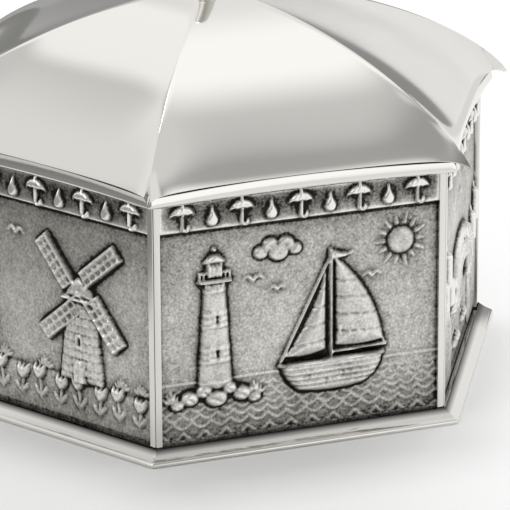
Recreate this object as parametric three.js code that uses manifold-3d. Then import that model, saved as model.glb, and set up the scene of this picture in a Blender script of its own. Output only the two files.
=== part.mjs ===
// Hexagonal pewter coin box whose lid is an open umbrella.
// Millimetres, +Z up. The origin is the centre of the underside.
// One wall faces -Y, and two corners lie on the X axis.
// The umbrella lid lifts off the walls, and a soft stopper in the floor pulls out downwards.
import * as THREE from 'three';
import { mergeVertices } from 'three/addons/utils/BufferGeometryUtils.js';
import Module from 'manifold-3d';

const wasm = await Module();
wasm.setup();

// Gaps between pieces
const seam = 0.3;               // at soldered joints and where one piece rests on another
const slip = 0.4;               // between the lid's collar and the walls, and round the stopper

// Body
const faceCount = 6;
const bodySide = 46;            // one wall, from arris to arris
const wallHeight = 37.8;
const wallThickness = 2.0;      // behind the picture field
const fieldRecess = 0.85;       // of the picture field behind the corner posts' facets
const bandRecess = 0.35;        // of the ornament band behind the same facets
const bandHeight = 4.8;
const railRecess = 0.5;         // of the rail at the foot of the picture field
const railHeight = 0.85;
const postFacet = 1.1;          // width of each polished facet of a corner post

// Cast relief of the picture fields
const groundRise = 0.3;         // of the low ground over the picture field
const lowRise = 0.55;           // of stems, ropes and pads
const middleRise = 0.85;        // of most motifs
const highRise = 1.1;           // of what stands in front of them
const topRise = 1.3;
const softEdge = 0.4;           // bevel round a motif
const domedEdge = 1.4;          // the same, on the balloons and the sails
const barWidth = 0.6;           // stems, masts, rails and ropes
const drawingHalfWidth = 21.6;  // the pictures are drawn for a field of this size and stretched to fit theirs
const drawingFoot = 2.75;
const drawingHeight = 32.15;
const groundReach = 21.2;       // of the low ground to each side, in the drawing

// Plinth and floor
const plinthOverhang = 2.25;    // of its bead beyond the corner posts' facets
const plinthHeight = 2.2;
const beadHeight = 1.1;         // of the rounded bead at the foot of the plinth's cove
const beadReach = 0.45;         // of the bead beyond the cove
const beadFootRound = 0.3;
const coveHollow = 0.25;        // how near the cove keeps to the corner of its walls
const plinthLip = 0.15;         // flat top next to the walls
const ledgeHeight = 1.6;        // the walls stand on this ledge
const ledgeMargin = 0.8;        // of the ledge that shows inside the walls
const floorThickness = 1.2;
const floorSeatHeight = 1.0;
const floorSeatWidth = 1.6;

// Stopper in the floor
const stopperHoleRadius = 17;
const stopperTaper = 0.8;
const stopperHeadHeight = 2.4;  // above the floor
const stopperFlange = 3;        // of the flange beyond the hole
const stopperFlangeThickness = 0.8;
const stopperWall = 2.6;
const stopperWeb = 1.4;
const pullBarWidth = 3.2;
const pullBarThickness = 1.6;

// Umbrella lid: each ridge is a superellipse from the apex down to its tip
const tipOverhang = 4.5;        // of the tips beyond the body's corners
const tipRise = 1.1;            // of the tips above the top of the walls
const canopyRise = 19.0;        // from the tips to the apex
const ridgeOut = 1.8236;        // exponent along the radius
const ridgeUp = 1.3186;         // exponent along the height
const goreSag = 1.6;            // how far a gore dips in between its ridges at the hem
const sagFade = 2.5;            // exponent with which the dip dies away up the gore
const sagFlatness = 6;          // exponent that keeps the dip flat across the gore
const beakReach = 1.1;          // how far the tips stand out further from the gores as beaks
const beakFade = 8;             // exponent with which the beaks die away up the ridges
const beakNarrowness = 24;      // exponent with which they die away along the hem
const beakDrop = 0.75;          // of the tips below the hem beside them
const hemArch = 0.5;            // rise of the hem from beside the tips to its middle
const shellThickness = 1.5;     // at the apex
const lipThickness = 0.6;       // at the hem
const rimOverhang = 1.75;       // of the rim's corners beyond the posts' facets
const rimSag = 1.3;
const rimBulge = 0.5;
const collarDepth = 6;
const collarThickness = 1.0;
const flangeThickness = 1.0;

// Coin slot in the rear gore
const slotLength = 31;
const slotWidth = 4.6;
const slotApothem = 31;

// Ferrule on the apex
const finialHeight = 10;
const finialCapRadius = 3;
const finialCapHeight = 1.8;
const finialShaftRadius = 1.5;
const finialTipRadius = 1.1;
const finialStemRadius = 1.2;
const finialStemReach = 1.2;    // of the stem below the shell

// Facets
const goreColumns = [
  -1, -0.985, -0.965, -0.93, -0.86, -0.7, -0.45, -0.15, 0.15, 0.45, 0.7, 0.86, 0.93, 0.965, 0.985,
];
const goreRows = 11;
const roundSegments = 32;
const arcSegments = 4;

// Places that follow from the dimensions
const faceTurn = (2 * Math.PI) / faceCount;
const halfTurn = faceTurn / 2;
const faceApothem = (bodySide / 2) / Math.tan(halfTurn);
const arrisRadius = (bodySide / 2) / Math.sin(halfTurn);
const fieldApothem = faceApothem - fieldRecess;
const backApothem = fieldApothem - wallThickness;
const wallFoot = ledgeHeight + seam;
const wallTop = wallFoot + wallHeight;
const panelHalfWidth = bodySide / 2 - postFacet - seam;
const railTop = wallFoot + railHeight;
const bandFoot = wallTop - bandHeight;
const reliefRoot = wallThickness / 2;
const ledgeInner = backApothem - ledgeMargin;
const floorFoot = floorSeatHeight + seam;
const floorTop = floorFoot + floorThickness;
const tipRadius = arrisRadius + tipOverhang;
const tipHeight = wallTop + tipRise;
const apexHeight = tipHeight + canopyRise;
const lidFoot = wallTop + seam;
const rimInner = fieldApothem - seam;

// Solids and geometry

function cleaned(geometry) {
  const bare = geometry.clone();
  bare.deleteAttribute('normal');
  bare.deleteAttribute('uv');
  const merged = mergeVertices(bare);
  const index = merged.index.array;
  const kept = [];
  for (let i = 0; i < index.length; i += 3) {
    const [a, b, c] = [index[i], index[i + 1], index[i + 2]];
    if (a !== b && b !== c && c !== a) kept.push(a, b, c);
  }
  merged.setIndex(kept);
  return merged;
}

function toSolid(geometry) {
  const closed = cleaned(geometry);
  const vertProperties = new Float32Array(closed.attributes.position.array);
  const triVerts = new Uint32Array(closed.index.array);
  return new wasm.Manifold(new wasm.Mesh({ numProp: 3, vertProperties, triVerts }));
}

function toGeometry(solid) {
  const mesh = solid.getMesh();
  const geometry = new THREE.BufferGeometry();
  geometry.setAttribute('position', new THREE.BufferAttribute(new Float32Array(mesh.vertProperties), 3));
  geometry.setIndex(new THREE.BufferAttribute(new Uint32Array(mesh.triVerts), 1));
  return geometry;
}

// Solid of revolution about Z. The profile's x is the radius and its y the height.
function turned(points, segments = roundSegments) {
  return cleaned(new THREE.LatheGeometry(points, segments).rotateX(Math.PI / 2));
}

// Ring or plate with the body's plan. The profile's x is the apothem and its y the height.
function facetedRing(points) {
  const corners = points.map((p) => new THREE.Vector2(p.x / Math.cos(halfTurn), p.y));
  const lathe = new THREE.LatheGeometry(corners, faceCount, halfTurn);
  return cleaned(lathe.rotateX(Math.PI / 2));
}

function prism(corners, foot, top) {
  const shape = new THREE.Shape(corners);
  const extrusion = new THREE.ExtrudeGeometry(shape, { depth: top - foot, bevelEnabled: false });
  return extrusion.translate(0, 0, foot);
}

// Skin through a closed loop of sections, each a closed profile with the same number of points.
function loft(sections) {
  const perSection = sections[0].length;
  const positions = sections.flat().flatMap((p) => [p.x, p.y, p.z]);
  const index = [];
  sections.forEach((_, i) => {
    const next = (i + 1) % sections.length;
    for (let j = 0; j < perSection; j += 1) {
      const up = (j + 1) % perSection;
      const a = i * perSection + j;
      const b = next * perSection + j;
      const c = next * perSection + up;
      const d = i * perSection + up;
      index.push(a, b, d, c, d, b);
    }
  });
  const geometry = new THREE.BufferGeometry();
  geometry.setAttribute('position', new THREE.Float32BufferAttribute(positions, 3));
  geometry.setIndex(index);
  return cleaned(geometry);
}

// Sections all round the plan, with more of them where the hem turns down at the tips.
function aroundPlan(sectionAt) {
  const sections = [];
  for (let face = 0; face < faceCount; face += 1) {
    const turn = new THREE.Matrix4().makeRotationZ(face * faceTurn);
    for (const across of goreColumns) {
      sections.push(sectionAt(across).map((p) => p.applyMatrix4(turn)));
    }
  }
  return sections;
}

// Bow between two ridges: 1 in the middle and 0 at both of them.
function bow(across, exponent = 2) {
  return 1 - Math.abs(across) ** exponent;
}

// Point of the gore that faces -Y: across runs from -1 to 1 between its two ridges.
function gorePoint(ridgeRadius, dip, across, height) {
  const x = across * ridgeRadius * Math.sin(halfTurn);
  const apothem = ridgeRadius * Math.cos(halfTurn) - dip;
  return new THREE.Vector3(x, -apothem, height);
}

// Outer and inner skins of the umbrella
const outerSkin = { radius: tipRadius, rise: canopyRise };
const innerSkin = { radius: tipRadius - lipThickness, rise: canopyRise - shellThickness };

function ridgeAngleAt(skin, height) {
  const share = Math.max(0, height - tipHeight) / skin.rise;
  return Math.acos(share ** (ridgeUp / 2));
}

function ridgeRadiusAt(skin, angle) {
  return skin.radius * Math.sin(angle) ** (2 / ridgeOut);
}

function skinPoint(skin, angle, across) {
  const radius = ridgeRadiusAt(skin, angle);
  const share = radius / skin.radius;
  const height = tipHeight + skin.rise * Math.max(0, Math.cos(angle)) ** (2 / ridgeUp);
  const sag = goreSag * share ** sagFade * bow(across, sagFlatness);
  const beak = beakReach * share ** beakFade * bow(across, beakNarrowness);
  return gorePoint(radius, sag + beak, across, height);
}

function hemHeight(across) {
  return tipHeight + beakDrop * bow(across, beakNarrowness) + hemArch * bow(across);
}

function canopySection(across) {
  const eyeAngle = 0.02;
  const skinRows = (skin) => {
    const hemAngle = ridgeAngleAt(skin, hemHeight(across));
    return Array.from({ length: goreRows + 1 }, (_, row) => {
      const angle = hemAngle + (eyeAngle - hemAngle) * (row / goreRows);
      return skinPoint(skin, angle, across);
    });
  };
  return [...skinRows(outerSkin), ...skinRows(innerSkin).reverse()];
}

// Sub-parts

function lidCanopy() {
  const shell = toSolid(loft(aroundPlan(canopySection)));
  const depth = canopyRise * 2;
  const slot = new THREE.BoxGeometry(slotLength, slotWidth, depth);
  slot.translate(0, slotApothem, apexHeight);
  const holeRadius = finialStemRadius + seam;
  const stemHole = new THREE.CylinderGeometry(holeRadius, holeRadius, depth, roundSegments);
  stemHole.rotateX(Math.PI / 2).translate(0, 0, apexHeight);
  return toGeometry(shell.subtract(toSolid(slot)).subtract(toSolid(stemHole)));
}

function lidRim() {
  const cornerRadius = (faceApothem + rimOverhang) / Math.cos(halfTurn);
  const innerRadius = rimInner / Math.cos(halfTurn);
  const steps = 2 * arcSegments;
  return loft(aroundPlan((across) => {
    const top = tipHeight + beakDrop + hemArch * bow(across) - seam;
    const halfHeight = (top - lidFoot) / 2;
    const outside = Array.from({ length: steps + 1 }, (_, step) => {
      const angle = -Math.PI / 2 + (Math.PI * step) / steps;
      const inset = rimBulge * (1 - Math.cos(angle)) / Math.cos(halfTurn);
      const height = lidFoot + halfHeight * (1 + Math.sin(angle));
      return gorePoint(cornerRadius - inset, rimSag * bow(across), across, height);
    });
    return [
      gorePoint(innerRadius, 0, across, lidFoot),
      ...outside,
      gorePoint(innerRadius, 0, across, top),
    ];
  }));
}

function lidCollar() {
  const spigotOuter = backApothem - slip;
  const spigotInner = spigotOuter - collarThickness;
  const flangeOuter = rimInner - seam;
  const flangeTop = lidFoot + flangeThickness;
  const profile = new THREE.Path();
  profile.moveTo(spigotInner, wallTop - collarDepth);
  profile.lineTo(spigotOuter, wallTop - collarDepth);
  profile.lineTo(spigotOuter, lidFoot);
  profile.lineTo(flangeOuter, lidFoot);
  profile.lineTo(flangeOuter, flangeTop);
  profile.lineTo(spigotInner, flangeTop);
  profile.lineTo(spigotInner, wallTop - collarDepth);
  return facetedRing(profile.getPoints());
}

function finial() {
  const foot = apexHeight + seam / 2;
  const stemFoot = apexHeight - shellThickness - finialStemReach;
  const top = foot + finialHeight;
  const capTop = foot + finialCapHeight;
  const profile = new THREE.Path();
  profile.moveTo(0, stemFoot);
  profile.lineTo(finialStemRadius, stemFoot);
  profile.lineTo(finialStemRadius, foot);
  profile.lineTo(finialCapRadius, foot);
  profile.quadraticCurveTo(finialCapRadius, capTop, finialShaftRadius, capTop);
  profile.lineTo(finialTipRadius, top - finialTipRadius);
  profile.absarc(0, top - finialTipRadius, finialTipRadius, 0, Math.PI / 2);
  return turned(profile.getPoints(arcSegments));
}

// Cast relief: motifs drawn on the wall that faces -Y, with x across the wall and y up it.
const stretchAcross = panelHalfWidth / drawingHalfWidth;
const stretchUp = (bandFoot - railTop) / drawingHeight;
const pictureFit = new THREE.Matrix4().makeScale(stretchAcross, stretchUp, 1);
pictureFit.setPosition(0, railTop - drawingFoot * stretchUp, 0);

// Place of a motif on the wall: its foot, its scale and its turn in degrees.
function spot(x, y, scale = 1, turn = 0) {
  const place = new THREE.Matrix4().makeRotationZ(THREE.MathUtils.degToRad(turn));
  return place.scale(new THREE.Vector3(scale, scale, 1)).setPosition(x, y, 0);
}

// Flat-topped shape that stands out of the picture field, with its root inside the wall.
function raised(place, shape, rise, edge = 0) {
  const slope = Math.min(edge, rise / 2);
  const extrusion = new THREE.ExtrudeGeometry(shape, {
    depth: reliefRoot + rise - 2 * slope,
    bevelEnabled: edge > 0,
    bevelThickness: slope,
    bevelSize: edge,
    bevelOffset: -edge,
    bevelSegments: edge > softEdge ? 2 : 1,
    curveSegments: arcSegments,
  });
  extrusion.translate(0, 0, slope - reliefRoot).applyMatrix4(place).applyMatrix4(pictureFit);
  return extrusion.rotateX(Math.PI / 2).translate(0, -fieldApothem, 0);
}

function outline(...points) {
  return new THREE.Shape(points.map(([x, y]) => new THREE.Vector2(x, y)));
}

function block(left, foot, right, top) {
  return outline([left, foot], [right, foot], [right, top], [left, top]);
}

function bar([x, y], [endX, endY], width = barWidth) {
  const side = new THREE.Vector2(y - endY, endX - x).setLength(width / 2);
  return outline(
    [x - side.x, y - side.y],
    [endX - side.x, endY - side.y],
    [endX + side.x, endY + side.y],
    [x + side.x, y + side.y],
  );
}

function disc(x, y, acrossRadius, upRadius = acrossRadius, count = 12) {
  const turns = Array.from({ length: count }, (_, i) => (2 * Math.PI * i) / count);
  return outline(...turns.map((turn) => [x + acrossRadius * Math.cos(turn), y + upRadius * Math.sin(turn)]));
}

// Closed shape whose sides bow out to their right, each by its own amount.
function bowed(points, bows) {
  const shape = new THREE.Shape();
  shape.moveTo(...points[0]);
  points.forEach(([x, y], i) => {
    const [endX, endY] = points[(i + 1) % points.length];
    const side = new THREE.Vector2(endY - y, x - endX).setLength(2 * bows[i]);
    if (bows[i]) shape.quadraticCurveTo((x + endX) / 2 + side.x, (y + endY) / 2 + side.y, endX, endY);
    else shape.lineTo(endX, endY);
  });
  return shape;
}

// Point of an arch, from 0 at its right foot to 1 at its left foot.
function archPoint(halfSpan, rise, share, lift = 0) {
  return [halfSpan * Math.cos(Math.PI * share), lift + rise * Math.sin(Math.PI * share)];
}

// Band between two arches over one foot, with the same share left off at both ends.
function archBand(outer, inner, lift = 0, trim = 0) {
  const steps = 3 * arcSegments;
  const shares = Array.from({ length: steps + 1 }, (_, i) => trim + (1 - 2 * trim) * (i / steps));
  const outside = shares.map((share) => archPoint(...outer, share, lift));
  const inside = shares.map((share) => archPoint(...inner, share, lift));
  return outline(...outside, ...inside.reverse());
}

// Low ground under a skyline
function ground(skyline) {
  const foot = drawingFoot - barWidth;
  const left = skyline[0][0];
  const right = skyline[skyline.length - 1][0];
  const shape = outline([left, foot], [right, foot], ...skyline.slice().reverse());
  return raised(spot(0, 0), shape, groundRise);
}

function lighthouse(place) {
  const height = 14;
  const rocks = outline(
    [-5.8, -1.9], [-5.6, -0.9], [-4.1, 0], [-2.4, 0.4], [-1.4, 0.9], [0.2, 0.5], [1.7, 0.9], [2.7, 0.3],
    [4.3, -0.2], [5.7, -1.0], [5.8, -1.9], [3.4, -1.7], [0.1, -2.0], [-3.2, -1.7],
  );
  return [
    raised(place, rocks, middleRise, softEdge),
    raised(place, outline([-2.3, 0], [2.3, 0], [1.4, height], [-1.4, height]), highRise, softEdge),
    raised(place, bar([-2.2, height + 0.1], [2.2, height + 0.1]), topRise),
    raised(place, block(-1.05, height, 1.05, height + 2.5), middleRise),
    raised(place, bowed([[-1.5, height + 2.3], [1.5, height + 2.3]], [0, 1.25]), highRise),
  ];
}

function sailingBoat(place) {
  const hull = bowed([[-7, 4.1], [-4.3, 0], [5.3, 0], [8.4, 4.4]], [0.5, 0.5, 0.9, 0.35]);
  return [
    raised(place, hull, topRise, softEdge),
    raised(place, bar([0.6, 3.6], [0.6, 20.2]), middleRise),
    raised(place, bar([0.6, 5.2], [8.8, 5.4]), middleRise),
    raised(place, bowed([[1.2, 6], [8.6, 6.1], [1.2, 19.3]], [0.4, 1.5, 0]), highRise, domedEdge),
    raised(place, bowed([[-0.1, 17.8], [-6.5, 5.2], [-0.1, 5.6]], [-0.9, 0.5, 0]), highRise, softEdge),
    raised(place, outline([0.8, 20.3], [0.8, 18.9], [4.4, 19.6]), middleRise),
  ];
}

function windmill(place) {
  const height = 14;
  const hubHeight = height + 1.2;
  const sails = [40, 130, 220, 310].flatMap((turn) => {
    const arm = place.clone().multiply(spot(0, hubHeight, 1, turn));
    return [raised(arm, block(2.2, 0, 11, 2.6), highRise), raised(arm, bar([0, 0], [11, 0]), topRise)];
  });
  return [
    raised(place, outline([-4.7, 0], [4.7, 0], [2.9, height], [-2.9, height]), middleRise, softEdge),
    raised(place, bowed([[-3.3, height], [3.3, height]], [0, 3.6]), highRise, softEdge),
    raised(place, bowed([[-1.2, 0], [1.2, 0], [1.2, 3], [-1.2, 3]], [0, 0, 1, 0]), highRise),
    ...sails,
  ];
}

function cottage(place) {
  return [
    raised(place, block(2.6, 8, 4.4, 14.2), middleRise),
    raised(place, block(-6.2, 0, 6.2, 7.4), middleRise),
    raised(place, outline([-7.6, 7], [7.6, 7], [4.8, 12.4], [-4.8, 12.4]), highRise, softEdge),
    raised(place, bowed([[-1.3, 0], [1.3, 0], [1.3, 4], [-1.3, 4]], [0, 0, 1, 0]), highRise),
    raised(place, block(-5.3, 2.6, -2.7, 5.4), highRise),
    raised(place, block(2.7, 2.6, 5.3, 5.4), highRise),
  ];
}

function tulip(place, height) {
  const cup = outline(
    [0, height - 0.4], [0.75, height + 0.5], [1, height + 2.1], [0.45, height + 1.4], [0, height + 2],
    [-0.45, height + 1.4], [-1, height + 2.1], [-0.75, height + 0.5],
  );
  return [raised(place, bar([0, 0], [0, height]), lowRise), raised(place, cup, middleRise)];
}

function stoneBridge(place) {
  const deck = [11.4, 7.4];
  const arch = [7.6, 5.4];
  const railRise = 2.6;
  const halfRail = barWidth / 2;
  const railOuter = deck.map((radius) => radius + halfRail);
  const railInner = deck.map((radius) => radius - halfRail);
  const trim = 1 / 12;
  const posts = [0, 0.2, 0.4, 0.6, 0.8, 1].map((step) => {
    const share = trim + (1 - 2 * trim) * step;
    const post = bar(archPoint(...deck, share, -halfRail), archPoint(...deck, share, railRise));
    return raised(place, post, middleRise);
  });
  return [
    raised(place, archBand(deck, arch), middleRise, softEdge),
    raised(place, archBand(railOuter, railInner, railRise, trim), highRise),
    ...posts,
  ];
}

function cattail(place, height, lean) {
  const headFoot = [lean * 0.93, height * 0.78];
  const headTop = [lean * 1.05, height + 0.9];
  return [
    raised(place, bar([0, 0], headFoot), lowRise),
    raised(place, bar(headFoot, headTop, 2 * barWidth), highRise, softEdge),
  ];
}

function waterLily(place) {
  const flower = outline(
    [-0.3, 0.1], [0.3, 0.1], [1.5, 1.1], [0.6, 0.9], [0.8, 1.7], [0.3, 1.3], [0, 2], [-0.3, 1.3], [-0.8, 1.7],
    [-0.6, 0.9], [-1.5, 1.1],
  );
  return [raised(place, disc(0, 0, 3, 0.95), lowRise), raised(place, flower, middleRise)];
}

function hotAirBalloon(place) {
  const taper = 0.52;
  const bag = new THREE.Shape();
  bag.moveTo(-1.6, -8.6);
  bag.lineTo(1.6, -8.6);
  bag.absellipse(0, 0, 6, 6.2, -taper, Math.PI + taper);
  return [
    raised(place, bag, topRise, domedEdge),
    raised(place, bar([-1.4, -8.3], [-1.3, -11.5], barWidth / 2), lowRise),
    raised(place, bar([1.4, -8.3], [1.3, -11.5], barWidth / 2), lowRise),
    raised(place, block(-1.7, -13.6, 1.7, -11.2), highRise),
  ];
}

function poplar(place, height) {
  const spread = 0.2 * height;
  return [
    raised(place, bar([0, 0], [0, height * 0.3]), lowRise),
    raised(place, bowed([[0, height * 0.14], [0, height * 1.04]], [spread, spread]), middleRise, softEdge),
  ];
}

function cloud(place) {
  const corners = [[-4.3, -0.9], [4.2, -0.9], [2.9, 1.1], [0, 1.8], [-2.9, 1.1]];
  return [raised(place, bowed(corners, [0.9, 0.6, 0.6, 0.6, 0.6]), middleRise)];
}

function picketFence(place, count, height) {
  const pitch = 2;
  const half = 0.6;
  const point = 0.8;
  const reach = pitch * (count - 1);
  const boards = Array.from({ length: count }, (_, i) => {
    const x = pitch * i;
    const [left, right, top] = [x - half, x + half, height + point];
    const board = outline([left, 0], [right, 0], [right, height], [x, top], [left, height]);
    return raised(place, board, middleRise);
  });
  const rails = [0.3, 0.7].map((share) => {
    const level = height * share;
    return raised(place, bar([-2 * half, level], [reach + 2 * half, level]), lowRise);
  });
  return [...boards, ...rails];
}

// Flower on a straight stem
function flower(place, height, radius) {
  return [
    raised(place, bar([0, 0], [0, height]), lowRise),
    raised(place, disc(0, height, radius), middleRise),
  ];
}

// Kite with its tail, which hangs through the given points of the wall.
function kite(x, y, size, turn, tail) {
  const place = spot(x, y, 1, turn);
  const tailTop = new THREE.Vector3(0, -1.4 * size, 0).applyMatrix4(place);
  const points = [[tailTop.x, tailTop.y], ...tail];
  const strings = tail.map((point, i) => raised(spot(0, 0), bar(points[i], point, barWidth / 2), lowRise));
  const [top, shoulder, half, foot] = [1.15 * size, 0.2 * size, 0.85 * size, -1.5 * size];
  const sail = outline([0, top], [-half, shoulder], [0, foot], [half, shoulder]);
  return [raised(place, sail, highRise, softEdge), ...strings];
}

function harbourPicture() {
  return [
    ...lighthouse(spot(-13.4, 9.8, 1.22)),
    ...sailingBoat(spot(4.2, 8.0, 1.06)),
    raised(spot(16, 29.6), disc(0, 0, 2.1), middleRise, softEdge),
  ];
}

function pondPicture() {
  const reeds = [
    [-18.6, 15.0, -0.8], [-16.4, 18.6, 0.4], [-14.2, 13.6, 1.4], [17.0, 14.6, -1.0], [19.0, 17.4, 0.5],
  ];
  return [
    ground([[-groundReach, 13.5], [-15, 13.2], [-9.6, 11.4]]),
    ground([[12.4, 11.4], [17, 13], [groundReach, 13.6]]),
    ...stoneBridge(spot(1.5, 12.2)),
    ...reeds.flatMap(([x, height, lean]) => cattail(spot(x, 4.6), height, lean)),
    ...waterLily(spot(-3.4, 5.6)),
    ...waterLily(spot(6.4, 6.2, 0.85)),
  ];
}

function balloonPicture() {
  const trees = [[9.6, 12.0], [13.4, 15.4], [17.4, 12.8]];
  return [
    ground([[-groundReach, 10.8], [-14, 12.4], [-4, 10.2], [8, 11.6], [groundReach, 9.8]]),
    ...hotAirBalloon(spot(-4.6, 25.6, 0.98)),
    ...hotAirBalloon(spot(-17.6, 28.4, 0.38)),
    ...trees.flatMap(([x, height]) => poplar(spot(x, 9.8), height)),
    ...cloud(spot(10.4, 31.2, 0.8)),
  ];
}

function gardenPicture() {
  const flowers = [[-17.6, 14.4], [-13.4, 11.8], [14.2, 12.4], [18.4, 15.0]];
  const boards = 8;
  const fenceHeight = 5.2;
  const headRadius = 2.1;
  return [
    ground([[-groundReach, 10.7], [-10, 10.2], [10, 10.2], [groundReach, 10.7]]),
    ...cottage(spot(0.6, 10.4, 1.05)),
    ...picketFence(spot(-20, 5.4), boards, fenceHeight),
    ...picketFence(spot(6, 5.4), boards, fenceHeight),
    ...flowers.flatMap(([x, height]) => flower(spot(x, 8.8), height, headRadius)),
    ...cloud(spot(-12.6, 29.6, 0.9)),
  ];
}

function kitePicture() {
  const flowers = [[-18.8, 3.8], [-14.8, 2.6], [-10.6, 3.4], [11.2, 3.6], [15.2, 2.6], [18.8, 3.6]];
  const headRadius = 1.5;
  return [
    ground([[-groundReach, 7.6], [-12, 9.8], [2, 8], [14, 10.4], [groundReach, 8.8]]),
    ...kite(8.4, 27.6, 3.7, -24, [[5.2, 20.4], [8.0, 18.2], [4.6, 15.6], [7.6, 13.0]]),
    ...kite(-8.8, 23.4, 3.0, 18, [[-6.2, 17.6], [-9.4, 16.0], [-6.8, 13.4]]),
    ...cloud(spot(-14.6, 31, 0.8)),
    ...cloud(spot(-0.6, 32, 0.62)),
    raised(spot(17.4, 18.4), disc(0, 0, 1.8), middleRise, softEdge),
    ...flowers.flatMap(([x, height]) => flower(spot(x, 4.5), height, headRadius)),
  ];
}

function windmillPicture() {
  const tulips = Array.from({ length: 11 }, (_, i) => tulip(spot(-19.6 + 3.9 * i, 4.4), 2.6 + 0.7 * (i % 2)));
  return [
    ground([[-groundReach, 9.4], [-12, 8.8], [0, 9.4], [12, 8.6], [groundReach, 9.2]]),
    ...cottage(spot(-14.2, 9.6, 0.7)),
    ...windmill(spot(8.2, 8.8, 0.94)),
    ...tulips.flat(),
  ];
}

const pictures = [harbourPicture, pondPicture, balloonPicture, gardenPicture, kitePicture, windmillPicture];

// Plan of one wall: square edges against the posts, then a mitre behind them.
function panelPlan(frontApothem) {
  const half = panelHalfWidth;
  const mitreGap = (seam / 2) / Math.cos(halfTurn);
  const mitreApothem = Math.max(backApothem, (half + mitreGap) / Math.tan(halfTurn));
  const backHalf = Math.min(half, backApothem * Math.tan(halfTurn) - mitreGap);
  return [
    new THREE.Vector2(-half, -frontApothem),
    new THREE.Vector2(half, -frontApothem),
    new THREE.Vector2(half, -mitreApothem),
    new THREE.Vector2(backHalf, -backApothem),
    new THREE.Vector2(-backHalf, -backApothem),
    new THREE.Vector2(-half, -mitreApothem),
  ];
}

function wallPanel(picture) {
  const field = prism(panelPlan(fieldApothem), wallFoot, wallTop);
  const band = prism(panelPlan(faceApothem - bandRecess), bandFoot, wallTop);
  const rail = prism(panelPlan(faceApothem - railRecess), wallFoot, railTop);
  return toGeometry(wasm.Manifold.union([field, band, rail, ...picture()].map(toSolid)));
}

// Corner strip for the corner that points along -Y: two facets and a wedge between the walls.
function cornerPost() {
  const sideX = postFacet * Math.cos(halfTurn);
  const sideY = -arrisRadius + postFacet * Math.sin(halfTurn);
  const innerY = sideY + sideX / Math.tan(halfTurn);
  const corners = [
    new THREE.Vector2(0, -arrisRadius),
    new THREE.Vector2(sideX, sideY),
    new THREE.Vector2(0, innerY),
    new THREE.Vector2(-sideX, sideY),
  ];
  return cleaned(prism(corners, wallFoot, wallTop));
}

function plinth() {
  const outer = faceApothem + plinthOverhang;
  const pocket = faceApothem + seam;
  const coveTop = pocket + plinthLip;
  const seatInner = ledgeInner - floorSeatWidth;
  const profile = new THREE.Path();
  profile.moveTo(seatInner, 0);
  profile.lineTo(outer - beadFootRound, 0);
  profile.quadraticCurveTo(outer, 0, outer, beadFootRound);
  profile.lineTo(outer, beadHeight - beadReach);
  profile.quadraticCurveTo(outer, beadHeight, outer - beadReach, beadHeight);
  profile.quadraticCurveTo(coveTop + coveHollow, beadHeight + coveHollow, coveTop, plinthHeight);
  profile.lineTo(pocket, plinthHeight);
  profile.lineTo(pocket, ledgeHeight);
  profile.lineTo(ledgeInner, ledgeHeight);
  profile.lineTo(ledgeInner, floorSeatHeight);
  profile.lineTo(seatInner, floorSeatHeight);
  profile.lineTo(seatInner, 0);
  return facetedRing(profile.getPoints(arcSegments));
}

function floorPlate() {
  const edge = ledgeInner - seam;
  const plate = facetedRing([
    new THREE.Vector2(0, floorFoot),
    new THREE.Vector2(edge, floorFoot),
    new THREE.Vector2(edge, floorTop),
    new THREE.Vector2(0, floorTop),
  ]);
  const depth = floorThickness * 3;
  const hole = new THREE.CylinderGeometry(stopperHoleRadius, stopperHoleRadius, depth, roundSegments);
  hole.rotateX(Math.PI / 2).translate(0, 0, floorFoot);
  return toGeometry(toSolid(plate).subtract(toSolid(hole)));
}

// Cup with its mouth down, a flange under the floor and a bar across the mouth to pull it by.
function baseStopper() {
  const plugRadius = stopperHoleRadius - slip;
  const flangeRadius = stopperHoleRadius + stopperFlange;
  const flangeTop = floorFoot - seam;
  const flangeFootHeight = flangeTop - stopperFlangeThickness;
  const headTop = floorTop + stopperHeadHeight;
  const boreRadius = plugRadius - stopperTaper - stopperWall;
  const boreTop = headTop - stopperWeb;
  const cup = turned([
    new THREE.Vector2(0, boreTop),
    new THREE.Vector2(boreRadius, boreTop),
    new THREE.Vector2(boreRadius, flangeFootHeight),
    new THREE.Vector2(flangeRadius, flangeFootHeight),
    new THREE.Vector2(flangeRadius, flangeTop),
    new THREE.Vector2(plugRadius, flangeTop),
    new THREE.Vector2(plugRadius, floorTop),
    new THREE.Vector2(plugRadius - stopperTaper, headTop),
    new THREE.Vector2(0, headTop),
  ]);
  const bar = new THREE.BoxGeometry(2 * boreRadius + stopperWall, pullBarWidth, pullBarThickness);
  bar.translate(0, 0, flangeFootHeight + stopperFlangeThickness / 2 + pullBarThickness / 2);
  return toGeometry(toSolid(cup).add(toSolid(bar)));
}

// Materials
const finishes = {
  polished: { color: '#d6d5d0', roughness: 0.18, metalness: 1 },
  oxidised: { color: '#8b8983', roughness: 0.5, metalness: 0.9 },
  satin: { color: '#a9a8a3', roughness: 0.4, metalness: 1 },
  rubber: { color: '#3b3b3a', roughness: 0.8, metalness: 0 },
};

function named(name, geometry, finish) {
  const mesh = new THREE.Mesh(geometry, new THREE.MeshStandardMaterial(finishes[finish]));
  mesh.name = name;
  return mesh;
}

// Assembly
const body = new THREE.Group();
body.add(named('plinth', plinth(), 'polished'));
body.add(named('floor_plate', floorPlate(), 'satin'));
for (let face = 0; face < faceCount; face += 1) {
  const panel = named(`wall_panel_${face + 1}`, wallPanel(pictures[face]), 'oxidised');
  panel.rotation.z = face * faceTurn;
  const post = named(`corner_post_${face + 1}`, cornerPost(), 'polished');
  post.rotation.z = face * faceTurn + halfTurn;
  body.add(panel, post);
}

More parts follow.
